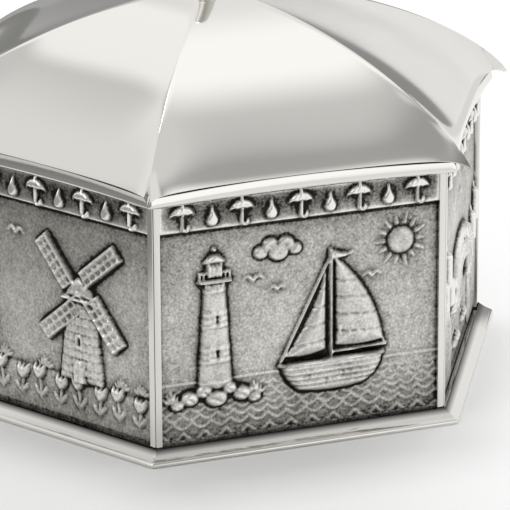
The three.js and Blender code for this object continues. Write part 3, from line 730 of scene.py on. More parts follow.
class Relief:
    """Height map of one cast wall, in millimetres over its picture field."""

    def __init__(self):
        wall = settings("wall")
        cell = wall.cell / MM
        self.columns = round(2 * WALL_REACH / cell)
        self.rows = round((WALL_HIGH.z - WALL_LOW.z) / cell)
        self.across = np.linspace(-WALL_REACH, WALL_REACH, self.columns + 1)
        self.up = np.linspace(WALL_LOW.z, WALL_HIGH.z, self.rows + 1)
        self.cell = self.across[1] - self.across[0]
        self.height = np.zeros((self.rows + 1, self.columns + 1))
        self.band_foot = WALL_HIGH.z - wall.band_height / MM
        self.rail_top = WALL_LOW.z + wall.rail_height / MM

    def window(self, outline):
        """Part of the map that an outline reaches, with the x and the z of its points."""
        columns = slice(*np.searchsorted(self.across, (outline.low[0], outline.high[0])))
        rows = slice(*np.searchsorted(self.up, (outline.low[1], outline.high[1])))
        x, z = np.meshgrid(self.across[columns], self.up[rows])
        return (rows, columns), x, z

    def raised(self, outline, rise, edge, over=0.0):
        """Lifts a shape to rise over a level, with a quarter-round edge."""
        area, x, z = self.window(outline)
        depth = outline.depth(x, z)
        share = np.clip(depth / edge, 0, 1)
        lift = over + rise * np.sqrt(1 - (1 - share) ** 2)
        self.height[area] = np.where(depth > 0, np.maximum(self.height[area], lift), self.height[area])

    def carved(self, outline, depth, edge, within=None):
        """Sinks a shape, or the part of it that lies within another one, into what is there."""
        area, x, z = self.window(outline)
        inside = outline.depth(x, z)
        if within:
            inside = np.minimum(inside, within.depth(x, z))
        share = np.clip(inside / edge, 0, 1)
        self.height[area] -= depth * np.sqrt(1 - (1 - share) ** 2)

    def blurred(self, size, border=None, passes=3):
        """The map averaged over some millimetres, as a soft round brush would, with a border's height."""
        reach = max(1, round(size / self.cell / 2))
        made = self.height
        edge = {"mode": "edge"} if border is None else {"constant_values": border}
        for _ in range(passes):
            for axis in (0, 1):
                padded = np.pad(made, [(reach + 1, reach) if a == axis else (0, 0) for a in (0, 1)], **edge)
                total = np.cumsum(padded, axis=axis)
                upper = np.take(total, range(2 * reach + 1, total.shape[axis]), axis=axis)
                lower = np.take(total, range(0, total.shape[axis] - 2 * reach - 1), axis=axis)
                made = (upper - lower) / (2 * reach + 1)
        return made

    def wear_and_shade(self):
        """How far the dark finish is rubbed off, with painted shade: 0 in the recesses, 1 on the highs."""
        border = 0.15
        base, full_gain, field_gain = 0.51, 1.1, 0.3
        brushes = ((0.45, 2.3), (1.5, 0.8), (5.0, 0.25))
        shade = sum(weight * (self.height - self.blurred(size, border)) for size, weight in brushes)
        in_band = (self.up > self.band_foot)[:, None]
        gain = np.where(shade < 0, full_gain, np.where(in_band, full_gain, field_gain))
        return np.clip(base + self.rubbing_and_shade() + gain * shade, 0, 1)

    def rubbing_and_shade(self):
        """How much brighter or darker the wall is: the field's middle rubbed most, with painted shade along
        its edges, on the rail and on the band, darkest under the rim.
        """
        middle, rail, band_start, rim_shadow_fall = 0.13, -0.3, -0.14, 0.25
        x, z = np.meshgrid(self.across, self.up)
        # Distance from an edge of the field, how much darker it is there from painted shade and less rubbing,
        # and how fast that fades
        edges = ((z - self.rail_top, 0.22, 4), (self.band_foot - z, 0.22, 5),
                 (WALL_REACH - np.abs(x), 0.12, 2))
        field = np.full(x.shape, middle)
        for away, darkening, fade in edges:
            field -= darkening * np.exp(-away / fade)
        # Painted shadow of the rim: the band darkens towards its top.
        band = band_start - rim_shadow_fall * (z - self.band_foot) / (WALL_HIGH.z - self.band_foot)
        return np.where(z > self.band_foot, band, np.where(z < self.rail_top, rail, field))


class Motif:
    """A place on a relief with millimetres of its own, where a negative rise sinks a shape."""

    def __init__(self, relief, foot=(0, 0), scale=1.0, turn=0.0, over=0.0):
        self.relief = relief
        self.foot = foot
        self.cosine = scale * math.cos(math.radians(turn))
        self.sine = scale * math.sin(math.radians(turn))
        self.over = over

    def at(self, dx, dz):
        """Place on the wall of a point of the motif."""
        x = self.foot[0] + dx * self.cosine - dz * self.sine
        return (x, self.foot[1] + dx * self.sine + dz * self.cosine)

    def placed(self, points):
        """Places on the wall of several points."""
        return [self.at(*point) for point in points]

    def shape(self, outline, rise, edge, within=None):
        """Raises or sinks an outline that has its place on the wall, and gives it back."""
        if rise > 0:
            self.relief.raised(outline, rise, edge, self.over)
        else:
            self.relief.carved(outline, -rise, edge, within)
        return outline

    def bar(self, start, end, radius, rise, within=None, end_radius=None, edge=None):
        """Rounded stroke between two points."""
        outline = capsule(self.at(*start), self.at(*end), radius, end_radius)
        return self.shape(outline, rise, edge or radius, within)

    def line(self, points, radius, rise):
        """Rounded stroke through several points."""
        return self.shape(stroke(self.placed(points), radius), rise, radius)

    def curve(self, points, radius, rise, within=None, end_radius=None, edge=None):
        """Rounded stroke along a smooth curve."""
        outline = stroke(smooth(self.placed(points)), radius, end_radius)
        return self.shape(outline, rise, edge or radius, within)

    def plate(self, points, rise, edge, bows=None, within=None):
        """Shape with straight or bowed sides."""
        corners = self.placed(points)
        return self.shape(curved(corners, bows) if bows else polygon(corners), rise, edge, within)

    def box(self, low, high, rise, edge, within=None):
        """Upright rectangle."""
        return self.shape(rectangle(self.at(*low), self.at(*high)), rise, edge, within)

    def disc(self, centre, half_width, rise, edge, half_height=None):
        """Circle or upright ellipse, its size in the wall's millimetres."""
        return self.shape(oval(self.at(*centre), half_width, half_height), rise, edge)

    def blade(self, start, end, half_width, rise, edge):
        """Pointed oval."""
        return self.shape(leaf(self.at(*start), self.at(*end), half_width), rise, edge)

    def masonry(self, shape, half, foot, top, block, depth=0.2):
        """Courses of staggered blocks, carved into a shape from one height to another."""
        rows = max(1, round((top - foot) / block[1]))
        pitch = (top - foot) / rows
        reach = math.ceil(half / block[0])
        for row in range(rows):
            level = foot + pitch * row
            self.bar((-half, level), (half, level), 0.12, -depth, shape)
            for i in range(-reach, reach + 1):
                dx = (i + 0.5 * (row % 2)) * block[0]
                self.bar((dx, level), (dx, level + pitch), 0.11, -depth, shape)


# Ornament of the band and the foot rail

def small_umbrella(relief, centre, over, rise):
    """Open umbrella with scallops, ribs and a crook handle."""
    made = Motif(relief, centre, 1.15, over=over)
    made.line([(0, 0.4), (0, -1.2), (0.1, -1.55), (0.42, -1.7), (0.74, -1.5), (0.78, -1.2)], 0.27, rise)
    dome = made.plate([(-1.7, 0.25), (-0.6, 0.3), (0.6, 0.3), (1.7, 0.25), (0, 1.75)], rise, 0.4,
                      [-0.28, -0.28, -0.28, 0.5, 0.5])
    for side in (-1, 1):
        made.curve([(0, 1.75), (side * 0.42, 1.15), (side * 0.6, 0.2)], 0.12, -0.16, dome)
    made.bar((0, 1.6), (0, 2.0), 0.17, rise)


def rain_drop(relief, centre, half_height, over, rise):
    """Round-bellied drop with its point up."""
    made = Motif(relief, centre, half_height, over=over)
    sides = [(0, 1), (-0.22, 0.4), (-0.5, -0.12), (-0.56, -0.5), (-0.35, -0.9), (0, -1)]
    mirrored = [(-x, z) for x, z in reversed(sides[1:-1])]
    made.plate(smooth(sides + mirrored + sides[:1])[:-1], rise, 0.5)


def ornament_band(relief):
    """Raised band on top of a wall with a row of umbrellas and drops, and a rail at its foot."""
    wall = settings("wall")
    made = Motif(relief)
    half = WALL_HIGH.x + 1
    foot = relief.band_foot
    rise = wall.band_rise / MM
    made.box((-half, foot), (half, WALL_HIGH.z + 1), rise, 0.25)
    made.bar((-half, foot - 0.1), (half, foot - 0.1), 0.2, -0.15)
    made.box((-half, WALL_LOW.z - 1), (half, relief.rail_top), wall.rail_rise / MM, 0.3)
    middle = foot + 2.3
    count, pitch, lift, drop_size = 9, 4.6, 0.7, 1.6
    for i in range(count):
        spot = ((i - (count - 1) / 2) * pitch, middle)
        if i % 2:
            rain_drop(relief, spot, drop_size, rise, lift)
        else:
            small_umbrella(relief, spot, rise, lift)


# Motifs of the pictures

def sun(relief, centre, radius):
    """Disc with tapered rays."""
    Motif(relief, centre).disc((0, 0), radius, 0.75, radius * 0.8)
    rays = 14
    for i in range(rays):
        ray = Motif(relief, centre, radius, 360 * i / rays)
        ray.bar((1.32, 0), (2.0 if i % 2 else 1.75, 0), 0.3, 0.45, end_radius=0.12)


def birds(relief, *places):
    """Far birds of two bent wings each, by their x, z and span."""
    for x, z, span in places:
        for side in (-1, 1):
            wing = [(side * span * out, span * up)
                    for out, up in ((0, 0), (0.16, 0.17), (0.32, 0.18), (0.5, 0.04))]
            Motif(relief, (x, z)).curve(wing, 0.32, 0.45, end_radius=0.12, edge=0.3)


def cloud(relief, centre, scale):
    """Heap of round puffs, with the edge of each one kept."""
    made = Motif(relief, centre, scale)
    puffs = ((-3.2, -0.3, 1.4), (3.1, -0.2, 1.3), (-1.4, 0.9, 1.6), (1.3, 0.8, 1.7), (0, -0.5, 1.9))
    for dx, dz, size in puffs:
        made.disc((dx, dz), scale * size + 0.2, -0.12, 0.3)
        made.disc((dx, dz), scale * size, 0.7, 0.7, scale * size * 0.85)


def grass(relief, places, level, size, over=0.0):
    """Tufts of thin pointed blades in a row."""
    for x in places:
        tuft = Motif(relief, (x, level), size, over=over)
        for lean, tall in ((-0.8, 0.6), (-0.45, 0.95), (-0.1, 1.2), (0.25, 1.0), (0.6, 0.75), (0.95, 0.45)):
            tuft.blade((lean * 0.35, 0), (lean, tall), 0.2, 0.42, 0.2)


def ripples(relief, start, count, width, radius=0.24):
    """Row of hanging scallops, as the surface of water."""
    points = [(width * (i + share), -width / 3 * math.sin(math.pi * share))
              for i in range(count) for share in (0, 0.2, 0.4, 0.6, 0.8)]
    Motif(relief, start).line(points + [(width * count, 0)], radius, 0.75 * radius)


def sea(relief, foot, horizon):
    """Rows of swells that grow finer towards the horizon."""
    rows = 7
    for row in range(rows):
        share = (row / rows) ** 0.8
        width = 3.4 - 2.0 * share
        start = (-WALL_REACH - width * (0.37 * row % 1), foot + (horizon - foot) * share)
        ripples(relief, start, round(2 * WALL_REACH / width) + 1, width, 0.25 - 0.13 * share)
    Motif(relief, (0, horizon + 0.2)).bar((-WALL_REACH, 0), (WALL_REACH, 0), 0.13, 0.22)


def lighthouse(relief, foot, height, scale):
    """Tapered tower with painted bands, a gallery, a lantern and a domed roof, on a heap of rocks."""
    made = Motif(relief, foot, scale)
    tower = made.plate([(-2.3, 0), (2.3, 0), (1.4, height), (-1.4, height)], 1.15, 1.6)
    for share in (0.1, 0.42, 0.74):
        made.box((-3, height * share), (3, height * (share + 0.16)), -0.2, 0.2, tower)
        made.masonry(tower, 3, height * (share + 0.16), height * (share + 0.32), (1.2, 0.75), 0.16)
    for share in (0.33, 0.64):
        made.bar((0.2, height * share), (0.2, height * share + 0.6), 0.3, -0.45)
    made.bar((-1.9, height + 0.1), (1.9, height + 0.1), 0.34, 1.3)
    for dx in (-1.9, -1.4, 1.4, 1.9):
        made.bar((dx, height), (dx, height + 1.1), 0.14, 0.8)
    made.bar((-1.9, height + 1.1), (1.9, height + 1.1), 0.14, 0.8)
    made.box((-1.05, height + 0.4), (1.05, height + 2.3), 0.95, 0.8)
    for dx in (-0.5, 0, 0.5):
        made.bar((dx, height + 0.7), (dx, height + 2.1), 0.13, -0.35)
    made.plate([(-1.5, height + 2.3), (1.5, height + 2.3)], 1.1, 0.9, [0, 1.5])
    made.disc((0, height + 4.0), 0.34, 0.8, 0.34)
    rocks = ((-3.3, -0.6, 1.5), (3.4, -0.7, 1.5), (-1.4, 0.1, 1.4), (1.7, 0.2, 1.3), (0.1, -0.9, 1.8),
             (-4.9, -1.3, 1.1), (5.0, -1.4, 1.1))
    for dx, dz, size in rocks:
        made.disc((dx, dz), size + 0.25, -0.2, 0.4, size * 0.8 + 0.2)
        made.disc((dx, dz), size, 1.1, 0.8, size * 0.78)
        made.curve([(dx - size * 0.5, dz + 0.2), (dx, dz - 0.1), (dx + size * 0.3, dz - 0.5)], 0.13, -0.3)


def sailing_boat(relief, foot, scale):
    """Boat with a planked hull, a mast, two filled sails and a pennant."""
    made = Motif(relief, foot, scale)
    made.bar((0.6, 4), (0.6, 20.2), 0.3, 0.9)
    made.bar((0.6, 5.2), (8.8, 5.4), 0.26, 0.9)
    main_sail = made.plate([(1.2, 6), (8.6, 6.1), (1.2, 19.3)], 1.2, 2.4, [0.4, 1.5, 0])
    jib = made.plate([(-0.1, 17.8), (-6.5, 5.2), (-0.1, 5.6)], 1.1, 2.2, [-0.9, 0.5, 0])
    for dz in (8.4, 10.9, 13.4, 15.9):
        made.bar((1, dz), (9, dz - 0.6), 0.13, -0.25, main_sail)
        made.bar((-7, dz - 1.8), (0, dz - 1.2), 0.13, -0.25, jib)
    for i in range(5):
        made.bar((1.7 + 1.3 * i, 9.2 - 0.1 * i), (1.8 + 1.3 * i, 7.7 - 0.1 * i), 0.14, 1.35)
    for start, end in (((0.6, 19.4), (-6.9, 4.4)), ((0.6, 19.8), (8.7, 5.6))):
        made.bar(start, end, 0.13, 0.75)
    made.plate([(0.8, 20.3), (0.8, 18.9), (4.4, 19.6)], 0.75, 0.5, [0, 0.3, -0.3])
    bows = [0.5, 0.5, 0.9, 0.35]
    made.plate([(-7.4, 4.3), (-4.5, -0.4), (5.5, -0.4), (8.8, 4.6)], -0.2, 0.4, bows)
    hull = made.plate([(-7, 4.1), (-4.3, 0), (5.3, 0), (8.4, 4.4)], 1.3, 1.5, bows)
    for dz in (0.8, 1.6, 2.4, 3.2):
        made.bar((-8, dz - 0.1), (9, dz + 0.2), 0.13, -0.3, hull)
    for i in range(6):
        lift = 0.8 * (i % 2)
        made.bar((2.6 * i - 5.6, 0.9 + lift), (2.6 * i - 5.6, 1.6 + lift), 0.11, -0.25, hull)
    made.bar((-7, 4.0), (8.4, 4.3), 0.28, 1.4)


def windmill(relief, foot, scale):
    """Brick tower mill with a domed cap and four lattice sails."""
    made = Motif(relief, foot, scale)
    tower = made.plate([(-4.7, 0), (4.7, 0), (2.9, 14), (-2.9, 14)], 1.0, 2.2)
    made.masonry(tower, 5, 0, 14, (1.5, 1.4))
    made.plate([(-3.3, 14.2), (3.3, 14.2)], 1.1, 1.5, [0, 3.6 * scale])
    made.bar((-3.4, 14), (3.4, 14), 0.34, 1.2)
    made.plate([(-1.2, 0), (1.2, 0), (1.2, 3), (-1.2, 3)], 1.3, 0.3, [0, 0, 1.0 * scale, 0])
    made.bar((0, 0), (0, 3.7), 0.12, -0.25)
    made.bar((0, 6.6), (0, 7.6), 0.75, 1.25, edge=0.25)
    made.bar((0, 6.7), (0, 7.5), 0.45, -0.5, edge=0.3)
    hub = (0, 15.2)
    for i in range(4):
        mill_sail(Motif(relief, made.at(*hub), scale, 40 + 90 * i), 11)
    made.disc(hub, 0.8, 1.4, 0.7)


def mill_sail(made, end):
    """One sail: a spar with a lattice frame on one side of it."""
    start, width = 2.2, 2.6
    made.plate([(start - 0.3, -0.5), (end + 0.4, -0.5), (end + 0.4, width + 0.4), (start - 0.3, width + 0.4)],
               -0.25, 0.3)
    made.plate([(start, 0), (end, 0), (end, width), (start, width)], 0.62, 0.3)
    made.bar((0, 0), (end, 0), 0.28, 1.15)
    for side in (width / 2, width):
        made.bar((start, side), (end, side), 0.19, 1.0)
    bars = 6
    for i in range(bars + 1):
        out = start + (end - start) * i / bars
        made.bar((out, 0), (out, width), 0.19, 1.0)


def tulip(relief, foot, height, lean):
    """Cup of three petals on a stem with two leaves."""
    made = Motif(relief, foot)
    made.curve([(0, 0), (lean * 0.2, height * 0.5), (lean, height)], 0.24, 0.5)
    for reach in (-1.5, 1.3):
        made.blade((0, 0), (reach, height * 0.7), 0.42, 0.55, 0.4)
    for side in (-1, 1):
        made.blade((lean + side * 0.1, height - 0.3), (lean + side * 1.0, height + 2.1), 0.55, 0.85, 0.5)
    made.blade((lean, height - 0.4), (lean, height + 2.0), 0.58, 1.0, 0.5)


def cottage(relief, foot, scale):
    """Small house with a tiled roof, a chimney, a door and two windows."""
    made = Motif(relief, foot, scale)
    made.box((2.6, 8), (4.4, 14.2), 0.75, 0.4)
    made.box((-6.2, 0), (6.2, 7.4), 0.85, 0.4)
    roof = made.plate([(-7.6, 7), (7.6, 7), (4.8, 12.4), (-4.8, 12.4)], 1.2, 0.5)
    made.masonry(roof, 8, 7, 12.4, (1.4, 1.35))
    made.plate([(-1.3, 0), (1.3, 0), (1.3, 4), (-1.3, 4)], 1.1, 0.25, [0, 0, 1.0 * scale, 0])
    made.disc((0.7, 2.3), 0.22, -0.3, 0.2)
    for dx in (-4, 4):
        made.box((dx - 1.3, 2.6), (dx + 1.3, 5.4), 1.1, 0.2)
        for sx in (-0.58, 0.58):
            for sz in (3.35, 4.65):
                made.box((dx + sx - 0.4, sz - 0.45), (dx + sx + 0.4, sz + 0.45), -0.4, 0.2)


def hill(relief, points, rise):
    """Low ground under a smooth skyline."""
    foot = 2.0
    relief.raised(polygon(smooth(points) + [(points[-1][0], foot), (points[0][0], foot)]), rise, 0.7)


def daisy(relief, centre, radius, petals=9):
    """Flower head of pointed petals about a button."""
    for i in range(petals):
        Motif(relief, centre, radius, 360 * i / petals + 12).blade((0.2, 0), (1, 0), radius * 0.2, 0.7, 0.3)
    made = Motif(relief, centre)
    made.disc((0, 0), radius * 0.45, -0.25, 0.3)
    made.disc((0, 0), radius * 0.34, 0.95, radius * 0.34)


def sunflower(relief, foot, height):
    """Tall flower with a round head and two leaves."""
    made = Motif(relief, foot)
    made.bar((0, 0), (0, height), 0.3, 0.7)
    for side in (-1, 1):
        made.blade((0, height * 0.35), (side * 2.0, height * 0.62), 0.55, 0.7, 0.4)
    daisy(relief, made.at(0, height), 2.1, 14)


def picket_fence(relief, start, count, height):
    """Row of pointed boards on two rails."""
    pitch, spare = 2.0, 0.8
    for share in (0.3, 0.7):
        rail = Motif(relief, (start[0], start[1] + height * share))
        rail.bar((-spare, 0), (pitch * (count - 1) + spare, 0), 0.3, 0.6)
    for i in range(count):
        board = Motif(relief, (start[0] + pitch * i, start[1]))
        board.plate([(-0.6, 0), (0.6, 0), (0.6, height), (0, height + 0.8), (-0.6, height)], 0.9, 0.25)


def cattail(relief, foot, height, lean):
    """Reed with a long brown head and two blades."""
    made = Motif(relief, foot)
    made.curve([(0, 0), (lean * 0.3, height * 0.5), (lean, height)], 0.24, 0.55)
    made.bar((lean * 0.93, height * 0.78), (lean * 1.05, height + 0.6), 0.62, 1.1, edge=0.6)
    made.bar((lean * 1.05, height + 0.6), (lean * 1.12, height + 2.2), 0.2, 0.7, end_radius=0.12)
    for side in (-1, 1):
        made.blade((0, 0), (side * 1.6 + lean * 0.4, height * 0.75), 0.38, 0.5, 0.3)


def water_lily(relief, centre, scale):
    """Notched pad with an open flower on it."""
    made = Motif(relief, centre, scale)
    pad = made.disc((0, 0), 3.0 * scale, 0.55, 0.4, 0.95 * scale)
    made.plate([(0.2, 0), (3.4, -1.0), (3.4, -0.3)], -0.4, 0.2, within=pad)
    for lean, tall in ((-1.5, 1.1), (1.5, 1.1), (-0.8, 1.7), (0.8, 1.7), (0, 2.0)):
        made.blade((lean * 0.2, 0.1), (lean, tall), 0.4 * scale, 0.95, 0.4)


def stone_bridge(relief, foot, half_span):
    """Arched bridge with wedge stones, a parapet and its posts."""
    made = Motif(relief, foot)

    def arch(half_width, height, angles):
        return [(half_width * math.cos(a), height * math.sin(a)) for a in angles]

    inner, outer = (half_span, 5.4), (half_span * 1.5, 7.4)
    whole = np.linspace(0, math.pi, 25)
    joints = np.linspace(0.12, math.pi - 0.12, 17)
    body = made.plate(arch(*outer, whole) + arch(*inner, whole)[::-1], 0.95, 0.4)
    for start, end in zip(arch(*inner, joints), arch(*outer, joints)):
        made.bar(start, end, 0.13, -0.25, body)
    made.line(arch(*inner, whole), 0.3, 1.15)
    deck = arch(*outer, whole)[2:-2]
    hand_rail = [(x, z + 2.6) for x, z in deck]
    made.line(deck, 0.36, 1.25)
    for low, high in list(zip(deck, hand_rail))[::2]:
        made.bar(low, high, 0.26, 0.9)
    made.line(hand_rail, 0.36, 1.2)


def hot_air_balloon(relief, centre, scale):
    """Striped balloon with a skirt, ropes and a basket."""
    made = Motif(relief, centre, scale)
    skirt = polygon(made.placed([(-5.2, -3), (-1.6, -8.6), (1.6, -8.6), (5.2, -3)]))
    bag = made.shape(joined([oval(centre, 6.0 * scale, 6.2 * scale), skirt]), 1.35, 4.0 * scale)
    for side in (-1, 1):
        for reach in (side * 1.6, side * 4.0):
            made.curve([(0, 6.2), (reach, 2.4), (reach * 0.98, -2.2), (reach * 0.3, -8.6)], 0.16, -0.28, bag)
    for dz in (1.6, -1.4):
        made.curve([(-6.4, dz + 0.5), (0, dz - 0.6), (6.4, dz + 0.5)], 0.14, -0.2, bag)
    made.bar((-1.7, -8.7), (1.7, -8.7), 0.32, 1.0)
    for dx in (-1.4, 0, 1.4):
        made.bar((dx, -8.8), (dx * 0.9, -11.4), 0.14, 0.5)
    basket = made.box((-1.7, -13.6), (1.7, -11.3), 1.05, 0.35)
    for i in range(1, 4):
        made.bar((-2, -13.6 + 0.58 * i), (2, -13.6 + 0.58 * i), 0.11, -0.2, basket)
    made.bar((-1.9, -11.4), (1.9, -11.4), 0.25, 1.2)


def poplar(relief, foot, height):
    """Slim tree with leaves that point up."""
    made = Motif(relief, foot)
    made.bar((0, 0), (0, height * 0.3), 0.34, 0.7)
    rows = 6
    for row in range(rows):
        level = height * (0.16 + 0.72 * row / rows)
        spread = 0.24 * height * math.sin(math.pi * (0.2 + 0.75 * row / rows))
        for dx in (-0.8, -0.3, 0.3, 0.8):
            made.blade((dx * spread, level), (dx * spread * 0.75, level + height * 0.26), 0.42, 0.85, 0.35)


def kite(relief, centre, size, turn, tail):
    """Diamond kite with a cross of sticks and a tail of bows."""
    made = Motif(relief, centre, size, turn)
    foot = (0, -1.5)
    line = smooth([made.at(*foot)] + tail)
    made.shape(stroke(line, 0.17), 0.45, 0.17)
    for i in range(4, len(line) - 1, 5):
        dx, dz = np.subtract(line[i + 1], line[i])
        knot = Motif(relief, line[i], 1.0, math.degrees(math.atan2(dz, dx)))
        for side in (-1, 1):
            knot.plate([(0, 0), (0.55, side * 1.25), (-0.55, side * 1.25)], 0.7, 0.3)
    made.plate([(0, 1.15), (0.85, 0.2), foot, (-0.85, 0.2)], 1.05, 0.9)
    made.bar((0, 1.1), (0, -1.4), 0.16, 1.2)
    made.bar((-0.8, 0.2), (0.8, 0.2), 0.16, 1.2)


# Pictures

def harbour_picture(relief):
    """Sailing boat on the sea under the sun, with a lighthouse on its rocks."""
    sun(relief, (16.0, 29.6), 2.1)
    sea(relief, 3.6, 11.2)
    cloud(relief, (-3.4, 30.6), 0.85)
    birds(relief, (-7.4, 26.2, 3.4), (-3.6, 24.4, 2.4), (11.4, 24.6, 2.8))
    lighthouse(relief, (-13.4, 9.8), 14.0, 1.22)
    sailing_boat(relief, (4.2, 8.0), 1.06)
    grass(relief, (-20.2, -7.2), 8.4, 1.8, 0.2)


def windmill_picture(relief):
    """Windmill over a bed of tulips, with a cottage behind."""
    hill(relief, [(-23, 9.6), (-12, 8.8), (0, 9.4), (12, 8.6), (23, 9.2)], 0.2)
    cottage(relief, (-14.2, 9.6), 0.7)
    windmill(relief, (8.2, 8.8), 0.94)
    birds(relief, (-4.8, 29.8, 3.2), (-9.4, 27.2, 2.6))
    grass(relief, (-18.6, -7.6, 0.6, 15.8, 19.6), 9.4, 1.7)
    for i in range(11):
        tulip(relief, (-19.6 + 3.9 * i, 4.4), 2.6 + 0.7 * (i % 2), 0.3 * (-1) ** i)


def pond_picture(relief):
    """Arched bridge over a pond with reeds and lilies."""
    stone_bridge(relief, (1.5, 12.2), 7.6)
    hill(relief, [(-23, 13.6), (-15, 13.2), (-9.6, 11.4)], 0.35)
    hill(relief, [(12.4, 11.4), (17, 13.0), (23, 13.8)], 0.35)
    for x, z, count in ((-6.8, 10.2, 5), (-9.4, 8.4, 3), (3.8, 8.2, 3), (-12, 6.0, 2), (10.6, 6.2, 3)):
        ripples(relief, (x, z), count, 2.4)
    reeds = ((-18.6, 15.0, -0.8), (-16.4, 18.6, 0.4), (-14.2, 13.6, 1.4), (17.0, 14.6, -1.0),
             (19.0, 17.4, 0.5))
    for x, height, lean in reeds:
        cattail(relief, (x, 4.6), height, lean)
    water_lily(relief, (-3.4, 5.6), 1.0)
    water_lily(relief, (6.4, 6.2), 0.85)
    birds(relief, (6.4, 30.2, 3.4), (1.6, 28.2, 2.6))


def balloon_picture(relief):
    """Hot-air balloon over fields with poplars."""
    hill(relief, [(-23, 10.4), (-14, 12.4), (-4, 10.2), (8, 11.6), (23, 9.6)], 0.3)
    furrows = Motif(relief, over=0.28)
    for i in range(7):
        furrows.curve([(-20 + 4.2 * i, 4.2), (-14 + 3.2 * i, 7.4), (-9.6 + 2.4 * i, 10.4)], 0.3, 0.3,
                      end_radius=0.16)
    hot_air_balloon(relief, (-4.6, 25.6), 0.98)
    hot_air_balloon(relief, (-17.6, 28.4), 0.38)
    for x, height in ((9.6, 12.0), (13.4, 15.4), (17.4, 12.8)):
        poplar(relief, (x, 9.8), height)
    cloud(relief, (10.4, 31.2), 0.8)
    grass(relief, (-18.4, 6.8, 15.6, 19.4), 5.0, 1.9, 0.28)


def garden_picture(relief):
    """Cottage behind a picket fence with sunflowers."""
    cloud(relief, (-12.6, 29.6), 0.9)
    cottage(relief, (0.6, 10.4), 1.05)
    hill(relief, [(-23, 10.8), (-10, 10.2), (10, 10.2), (23, 10.8)], 0.25)
    picket_fence(relief, (-20.0, 5.4), 8, 5.2)
    picket_fence(relief, (6.0, 5.4), 8, 5.2)
    for x, height in ((-17.6, 14.4), (-13.4, 11.8), (14.2, 12.4), (18.4, 15.0)):
        sunflower(relief, (x, 8.8), height)
    birds(relief, (12.4, 31.4, 3.0), (8.6, 29.4, 2.3))
    grass(relief, (-2.6, 0.6, 3.8), 5.0, 1.7)


def kite_picture(relief):
    """Two kites over a meadow of daisies."""
    hill(relief, [(-23, 7.2), (-12, 9.8), (2, 8.0), (14, 10.4), (23, 8.4)], 0.3)
    kite(relief, (8.4, 27.6), 3.7, -24, [(5.2, 20.4), (8.0, 18.2), (4.6, 15.6), (7.6, 13.0)])
    kite(relief, (-8.8, 23.4), 3.0, 18, [(-6.2, 17.6), (-9.4, 16.0), (-6.8, 13.4)])
    cloud(relief, (-14.6, 31.0), 0.8)
    cloud(relief, (-0.6, 32.0), 0.62)
    sun(relief, (17.4, 18.4), 1.8)
    daisies = ((-18.8, 4.6, 3.8), (-14.8, 4.4, 2.6), (-10.6, 4.6, 3.4), (11.2, 4.6, 3.6), (15.2, 4.4, 2.6),
               (18.8, 4.6, 3.6))
    for x, z, height in daisies:
        Motif(relief, (x, z)).bar((0, 0), (0, height), 0.22, 0.7)
        daisy(relief, (x, z + height), 1.6)
    grass(relief, (-6.4, -1.8, 3.0, 7.2), 4.8, 1.9, 0.28)


PICTURES = (harbour_picture, pond_picture, balloon_picture, garden_picture, kite_picture, windmill_picture)


def wall_mesh(relief, turn):
    """Closed plate with the relief on its front, square edges against the posts and a mitre behind them."""
    softening, edge_wear_and_shade, half_seam = 0.3, 0.3, 0.15
    relief.height = relief.blurred(softening, passes=1)
    # Painted shade goes into the wear: darker along the field's edges and on the band under the rim.
    wear_and_shade = relief.wear_and_shade()
    bm = bmesh.new()
    bmesh.ops.create_grid(bm, x_segments=relief.columns, y_segments=relief.rows, size=0.5)
    wear_and_shade_layer = bm.verts.layers.float.new("wear_and_shade")
    front = FACE_APOTHEM - settings("wall").field_recess / MM
    back = -WALL_HIGH.y
    for vert in bm.verts:
        column = round((vert.co.x + 0.5) * relief.columns)
        row = round((vert.co.y + 0.5) * relief.rows)
        vert[wear_and_shade_layer] = wear_and_shade[row, column]
        vert.co = (relief.across[column], -front - relief.height[row, column], relief.up[row])
    seam_gap = half_seam / math.cos(HALF_TURN)
    mitre = max(back, (WALL_REACH + seam_gap) / math.tan(HALF_TURN))
    for depth, narrowing in ((mitre, 1.0), (back, (back * math.tan(HALF_TURN) - seam_gap) / WALL_REACH)):
        grown = bmesh.ops.extrude_edge_only(bm, edges=boundary(bm))["geom"]
        for vert in (g for g in grown if isinstance(g, bmesh.types.BMVert)):
            vert.co.x *= narrowing
            vert.co.y = -depth
            vert[wear_and_shade_layer] = edge_wear_and_shade
    bmesh.ops.edgeloop_fill(bm, edges=boundary(bm))
    bmesh.ops.recalc_face_normals(bm, faces=bm.faces)
    return turned(bm, turn)


class COINBOX_OT_walls(bpy.types.Operator):
    """Builds the six cast walls with their pictures, ornament bands and foot rails."""

    bl_idname = "coin_box.walls"
    bl_label = "Relief Walls"

    def execute(self, context):
        pewter = oxidised_pewter()
        for face, picture in enumerate(PICTURES):
            relief = Relief()
            picture(relief)
            ornament_band(relief)
            name = f"relief_wall_{face + 1}"
            finish_piece(wall_mesh(relief, face * FACE_TURN), name, pewter, "box", f"wall_panel_{face + 1}",
                         60)
        return {"FINISHED"}


# Posts, plinth, floor and stopper

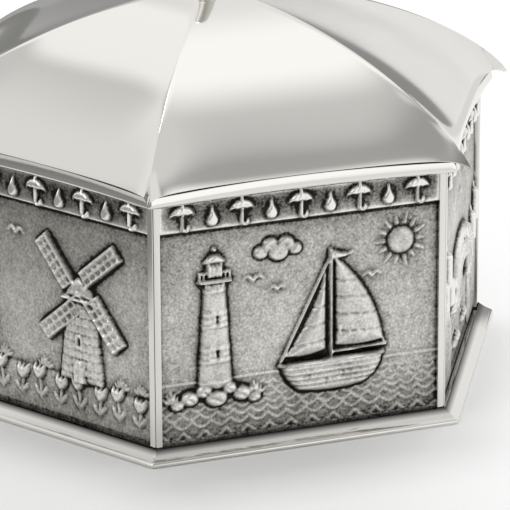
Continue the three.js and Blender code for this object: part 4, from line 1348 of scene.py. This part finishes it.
def post_mesh(turn):
    """Polished corner strip: two facets with a fine seam between them, and a wedge between the walls."""
    side_x = POST_HIGH.y
    side_y = -ARRIS + side_x * math.tan(HALF_TURN)
    inner_y = side_y + side_x / math.tan(HALF_TURN)
    seam_x, seam_depth, edge_round, shade_from = 0.1, 0.16, 0.08, 0.5
    lip_y = -ARRIS + seam_x * math.tan(HALF_TURN)
    corners = [(0, lip_y + seam_depth), (seam_x, lip_y), (side_x, side_y), (0, inner_y), (-side_x, side_y),
               (-seam_x, lip_y)]
    bm = bmesh.new()
    face = bm.faces.new([bm.verts.new((x, y, POST_LOW.z)) for x, y in corners])
    grown = bmesh.ops.extrude_face_region(bm, geom=[face])["geom"]
    lifted = [g for g in grown if isinstance(g, bmesh.types.BMVert)]
    bmesh.ops.translate(bm, verts=lifted, vec=(0, 0, POST_HIGH.z - POST_LOW.z))
    bmesh.ops.recalc_face_normals(bm, faces=bm.faces)
    upright = [e for e in bm.edges if abs(e.verts[0].co.z - e.verts[1].co.z) > 1
               and abs(e.verts[0].co.x) > seam_x / 2]
    rounded(bm, upright, edge_round, 4)
    # Patina in the seam between the facets, and painted shade on the sides where the post meets the walls.
    mark(bm, "patina_and_shade", lambda vert: abs(vert.co.x) < seam_x / 2 or vert.co.y > side_y + shade_from)
    return turned(bm, turn)


def plinth_mesh():
    """Base ring: a hollow cove over a rounded bead, a pocket for the walls and a seat for the floor."""
    proud, clearance, ledge_width = 0.1, 0.2, 0.8
    outer, top = PLINTH_HIGH.y + proud, PLINTH_HIGH.z
    pocket = FACE_APOTHEM + clearance
    pocket_lip, hollow, foot_inset = 0.1, 0.08, 0.15
    bead_core, bead_rise, bead_height = 41.25, 0.6, 0.45
    shade_start_height, shade_curve = 1.5, 0.8
    ledge_height, seat_height, seat_width = 1.6, 1.0, 1.6
    ledge_inner = -WALL_HIGH.y - ledge_width
    corner_round, outside = 0.2, 0.05
    steps = 12
    shares = [i / steps for i in range(steps + 1)]
    bead = [(bead_core + (outer - bead_core) * x, bead_height + bead_rise * z)
            for x, z in arc((0, 0), 1, -45, 55, 16)]
    cove_top, cove_foot = Vector((pocket + pocket_lip, top)), Vector(bead[-1])
    cove_hollow = cove_top.lerp(cove_foot, 0.5) - Vector((hollow, hollow))
    cove = [cove_foot.lerp(cove_hollow, s).lerp(cove_hollow.lerp(cove_top, s), s) for s in shares]
    outline = [(ledge_inner - seat_width, 0), (bead[0][0] - foot_inset, 0)]
    outline += bead + [tuple(point) for point in cove[1:]]
    outline += [(pocket, top), (pocket, ledge_height), (ledge_inner, ledge_height),
                (ledge_inner, seat_height), (ledge_inner - seat_width, seat_height)]
    bm = spun([(apothem / math.cos(HALF_TURN), z) for apothem, z in outline], FACES)

    def bearing(vert):
        return math.atan2(vert.co.y, vert.co.x)

    mitres = [e for e in bm.edges if abs(bearing(e.verts[0]) - bearing(e.verts[1])) < 1e-3
              and min(v.co.xy.length for v in e.verts) > pocket / math.cos(HALF_TURN) + outside]
    rounded(bm, mitres, corner_round, 3)
    # Painted shade with patina: the cove darkens towards its top, where it meets the walls.
    shade_depth = top - shade_start_height
    mark(bm, "patina_and_shade", lambda vert: min(1, max(0, (vert.co.z - shade_start_height) / shade_depth)) ** shade_curve)
    return bm


def stopper_mesh():
    """Soft plug with its mouth down, a flange under the floor and a bar to pull it by."""
    flange_radius = STOPPER_HIGH.x
    plug_radius, head_radius, bore_radius = 16.6, 15.8, 13.2
    flange_top, floor_top, roof = 1.0, 2.5, 1.4
    soft = 0.25
    bar_overlap, bar_width, bar_height, bar_middle, bar_round = 1.2, 3.2, 1.6, 1.2, 0.5
    foot, top = STOPPER_LOW.z, STOPPER_HIGH.z
    bore_top = top - roof
    steps = 4
    outline = [(0, bore_top), (bore_radius - soft, bore_top), (bore_radius, bore_top - soft),
               (bore_radius, foot + soft), (bore_radius + soft, foot)]
    outline += arc((flange_radius - soft, foot + soft), soft, -90, 0, steps)
    outline += arc((flange_radius - soft, flange_top - soft), soft, 0, 90, steps)
    outline += [(plug_radius, flange_top), (plug_radius, floor_top)]
    outline += arc((head_radius - soft, top - soft), soft, 0, 90, steps) + [(0, top)]
    bm = spun(outline, 64)
    bar = bmesh.ops.create_cube(bm, size=1)["verts"]
    bmesh.ops.scale(bm, vec=(2 * bore_radius + bar_overlap, bar_width, bar_height), verts=bar)
    bmesh.ops.translate(bm, vec=(0, 0, foot + bar_middle), verts=bar)
    long_edges = [e for e in bm.edges if e.verts[0] in bar and e.verts[1] in bar
                  and abs(e.verts[0].co.x - e.verts[1].co.x) > 1]
    rounded(bm, long_edges, bar_round, 4)
    return bm


class COINBOX_OT_body(bpy.types.Operator):
    """Builds the corner posts, the plinth and the stopper, and finishes the floor and the lid's collar."""

    bl_idname = "coin_box.body"
    bl_label = "Posts, Plinth and Stopper"

    def execute(self, context):
        pewter = polished_pewter()
        for corner in range(FACES):
            turn = corner * FACE_TURN + HALF_TURN
            finish_piece(post_mesh(turn), f"post_{corner + 1}", pewter, "box", f"corner_post_{corner + 1}")
        finish_piece(plinth_mesh(), "base_moulding", pewter, "box", "plinth")
        finish_piece(stopper_mesh(), "rubber_stopper", stopper_rubber(), "stopper", "base_stopper")
        satin = satin_pewter()
        for name in ("floor_plate", "lid_collar"):
            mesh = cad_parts[name].data
            mesh.materials.clear()
            mesh.materials.append(satin)
        return {"FINISHED"}


# Stage

# Levels of the studio by height: sine of the elevation, level
SKY = ((0.0, 0.25), (0.34, 0.4), (0.77, 0.7), (1.0, 0.72))

# Bright and dark parts of the studio: azimuth, elevation, inner and outer angle in degrees, level
GLOWS = (
    (-88, 56, 12, 46, 0.42),
    (-165, 55, 24, 32, 0.95),
    (-12, 45, 16, 30, 0.78),
    (38, 22, 32, 42, 0.95),
    (54, 56, 6, 26, 1.22),
    (90, 38, 10, 17, 1.1),
    (125, 20, 24, 34, 0.95),
    (172, 14, 16, 28, 0.68),
    (155, 36, 10, 30, 0.88),
    (-65, 14, 12, 28, 1.25),
    (-20, 4, 20, 28, 0.92),
    (0, 90, 4, 13, 1.2),
    (84, 4, 10, 16, 0.42),
    (61.5, -1, 18.2, 19.2, 0.31),
)


def glow(nodes, direction, level, spot):
    """Brings the studio's level to another one within an angle of a direction."""
    azimuth, elevation, inner, outer = (math.radians(angle) for angle in spot[:4])
    flat = math.cos(elevation)
    middle = (math.cos(azimuth) * flat, math.sin(azimuth) * flat, math.sin(elevation))
    angle = nodes.compute("ARCCOSINE", nodes.towards(direction, middle))
    share = nodes.between(angle, inner, outer, 1.0, 0.0, "SMOOTHSTEP")
    return nodes.mix(share, level, spot[4], "FLOAT")


def studio_world():
    """White studio with softboxes and a darker front, as polished metal shows it; the camera sees white."""
    world = bpy.context.scene.world or bpy.data.worlds.new("studio")
    bpy.context.scene.world = world
    world.use_nodes = True
    nodes = Nodes(world.node_tree)
    direction = nodes.add("TexCoord").outputs["Generated"]
    height = nodes.add("SeparateXYZ", {"Vector": direction}).outputs["Z"]
    level = nodes.ramp(height, [(sine, (grey, grey, grey, 1)) for sine, grey in SKY])
    for spot in GLOWS:
        level = glow(nodes, direction, level, spot)
    by_camera = nodes.add("LightPath").outputs["Is Camera Ray"]
    seen = nodes.mix(by_camera, level, 1.0, "FLOAT")
    shade = nodes.add("Background", {"Color": linear("#ffffff"), "Strength": seen})
    nodes.add("OutputWorld", {"Surface": shade.outputs["Background"]})


def pale_paper():
    """Pale matt paper with painted light: painted shade greyer towards the front left and far behind, and a
    painted glow that turns it white on the right.
    """
    material, nodes = new_material("pale_paper")
    spot = nodes.place()
    place = nodes.add("SeparateXYZ", {"Vector": spot}).outputs
    slant = nodes.compute("ADD", place["X"], place["Y"])
    aside = nodes.towards(spot, (0.94, -0.34, 0))
    tone = linear("#e3e3e1")
    # Painted light and shade on the paper: what the tone follows, where it starts to change, where it has
    # changed, both in millimetres, and to what
    painted_light_changes = ((slant, -150, 20, "#fdfdfd"), (place["Y"], 270, 360, "#bdbdbb"), (aside, -55, -105, "#868684"))
    for value, start, end, code in painted_light_changes:
        share = nodes.between(value, start * MM, end * MM, ease="SMOOTHSTEP")
        tone = nodes.mix(share, tone, linear(code))
    paper = nodes.surface(tone, 0.7, {"Specular IOR Level": 0.2})
    # Painted glow: camera and reflection rays see the paper turn white towards the right, over its shadow.
    painted_glow = nodes.between(aside, 15 * MM, 65 * MM, 0.0, 0.65, "SMOOTHSTEP")
    path = nodes.add("LightPath").outputs
    seen = nodes.compute("ADD", path["Is Camera Ray"], path["Is Glossy Ray"], clamp=True)
    share = nodes.compute("MULTIPLY", painted_glow, seen)
    white = nodes.add("Emission", {"Color": linear("#ffffff"), "Strength": 1.0}).outputs["Emission"]
    nodes.show(nodes.add("MixShader", {0: share, 1: paper, 2: white}).outputs["Shader"])
    return material


def studio_floor():
    """Sheet of paper that the box stands on."""
    reach = 3
    bm = bmesh.new()
    bmesh.ops.create_grid(bm, x_segments=1, y_segments=1, size=reach)
    mesh = bpy.data.meshes.new("paper_floor")
    bm.to_mesh(mesh)
    bm.free()
    mesh.materials.append(pale_paper())
    floor = bpy.data.objects.new("paper_floor", mesh)
    bpy.context.scene.collection.objects.link(floor)


def softbox(name, place, size, watts):
    """Square area lamp that faces the foot of the box."""
    aim = Vector((0, 0, 0.02))
    lamp = bpy.data.lights.new(name, "AREA")
    lamp.size = size
    lamp.energy = watts
    made = bpy.data.objects.new(name, lamp)
    made.location = place
    made.rotation_mode = "QUATERNION"
    made.rotation_quaternion = (aim - Vector(place)).to_track_quat("-Z", "Y")
    bpy.context.scene.collection.objects.link(made)


def photo_camera():
    """Camera at the photograph's angle, from the box's axis at floor level."""
    stage = settings("stage")
    azimuth, elevation, roll = stage.azimuth, stage.elevation, stage.roll
    back = Vector((math.sin(azimuth) * math.cos(elevation), -math.cos(azimuth) * math.cos(elevation),
                   math.sin(elevation)))
    level = Vector((math.cos(azimuth), math.sin(azimuth), 0))
    upright = back.cross(level)
    right = math.cos(roll) * level + math.sin(roll) * upright
    up = math.cos(roll) * upright - math.sin(roll) * level
    data = bpy.data.cameras.new("photo_camera")
    data.lens = stage.lens
    data.sensor_width = 36
    data.clip_start = 0.01
    camera = bpy.data.objects.new("photo_camera", data)
    place = Matrix.Translation(right * stage.aside + up * stage.above + back * stage.distance)
    camera.matrix_world = place @ Matrix((right, up, back)).transposed().to_4x4()
    bpy.context.scene.collection.objects.link(camera)
    bpy.context.scene.camera = camera


class COINBOX_OT_stage(bpy.types.Operator):
    """Sets the studio: world, floor, softboxes and the camera."""

    bl_idname = "coin_box.stage"
    bl_label = "Stage"

    def execute(self, context):
        context.scene.view_settings.view_transform = "Standard"
        studio_world()
        studio_floor()
        softbox("rear_softbox", (0.0, 0.148, 0.57), 0.17, settings("stage").key_power)
        softbox("left_softbox", (-0.42, -0.16, 0.36), 0.35, settings("stage").fill_power)
        photo_camera()
        return {"FINISHED"}


class COINBOX_PT_panel(bpy.types.Panel):
    """Lists the steps that dress the coin box."""

    bl_idname = "COINBOX_PT_panel"
    bl_label = "Coin Box"
    bl_space_type = "VIEW_3D"
    bl_region_type = "UI"
    bl_category = "Coin Box"

    def draw(self, context):
        for operator in OPERATORS:
            self.layout.operator(operator.bl_idname)
        for group in ("lid", "wall", "finish", "stage"):
            box = self.layout.box()
            owner = settings(group)
            for name in owner.__annotations__:
                box.prop(owner, name)


GROUPS = (LidSettings, WallSettings, FinishSettings, StageSettings, CoinBoxSettings)
OPERATORS = (COINBOX_OT_stage, COINBOX_OT_lid, COINBOX_OT_walls, COINBOX_OT_body)
CLASSES = GROUPS + OPERATORS + (COINBOX_PT_panel,)


def register():
    for item in CLASSES:
        bpy.utils.register_class(item)
    bpy.types.Scene.coin_box = PointerProperty(type=CoinBoxSettings)


def unregister():
    del bpy.types.Scene.coin_box
    for item in reversed(CLASSES):
        bpy.utils.unregister_class(item)


def main():
    register()
    bpy.ops.coin_box.stage()
    bpy.ops.coin_box.lid()
    bpy.ops.coin_box.walls()
    bpy.ops.coin_box.body()


if __name__ == "__main__":
    main()
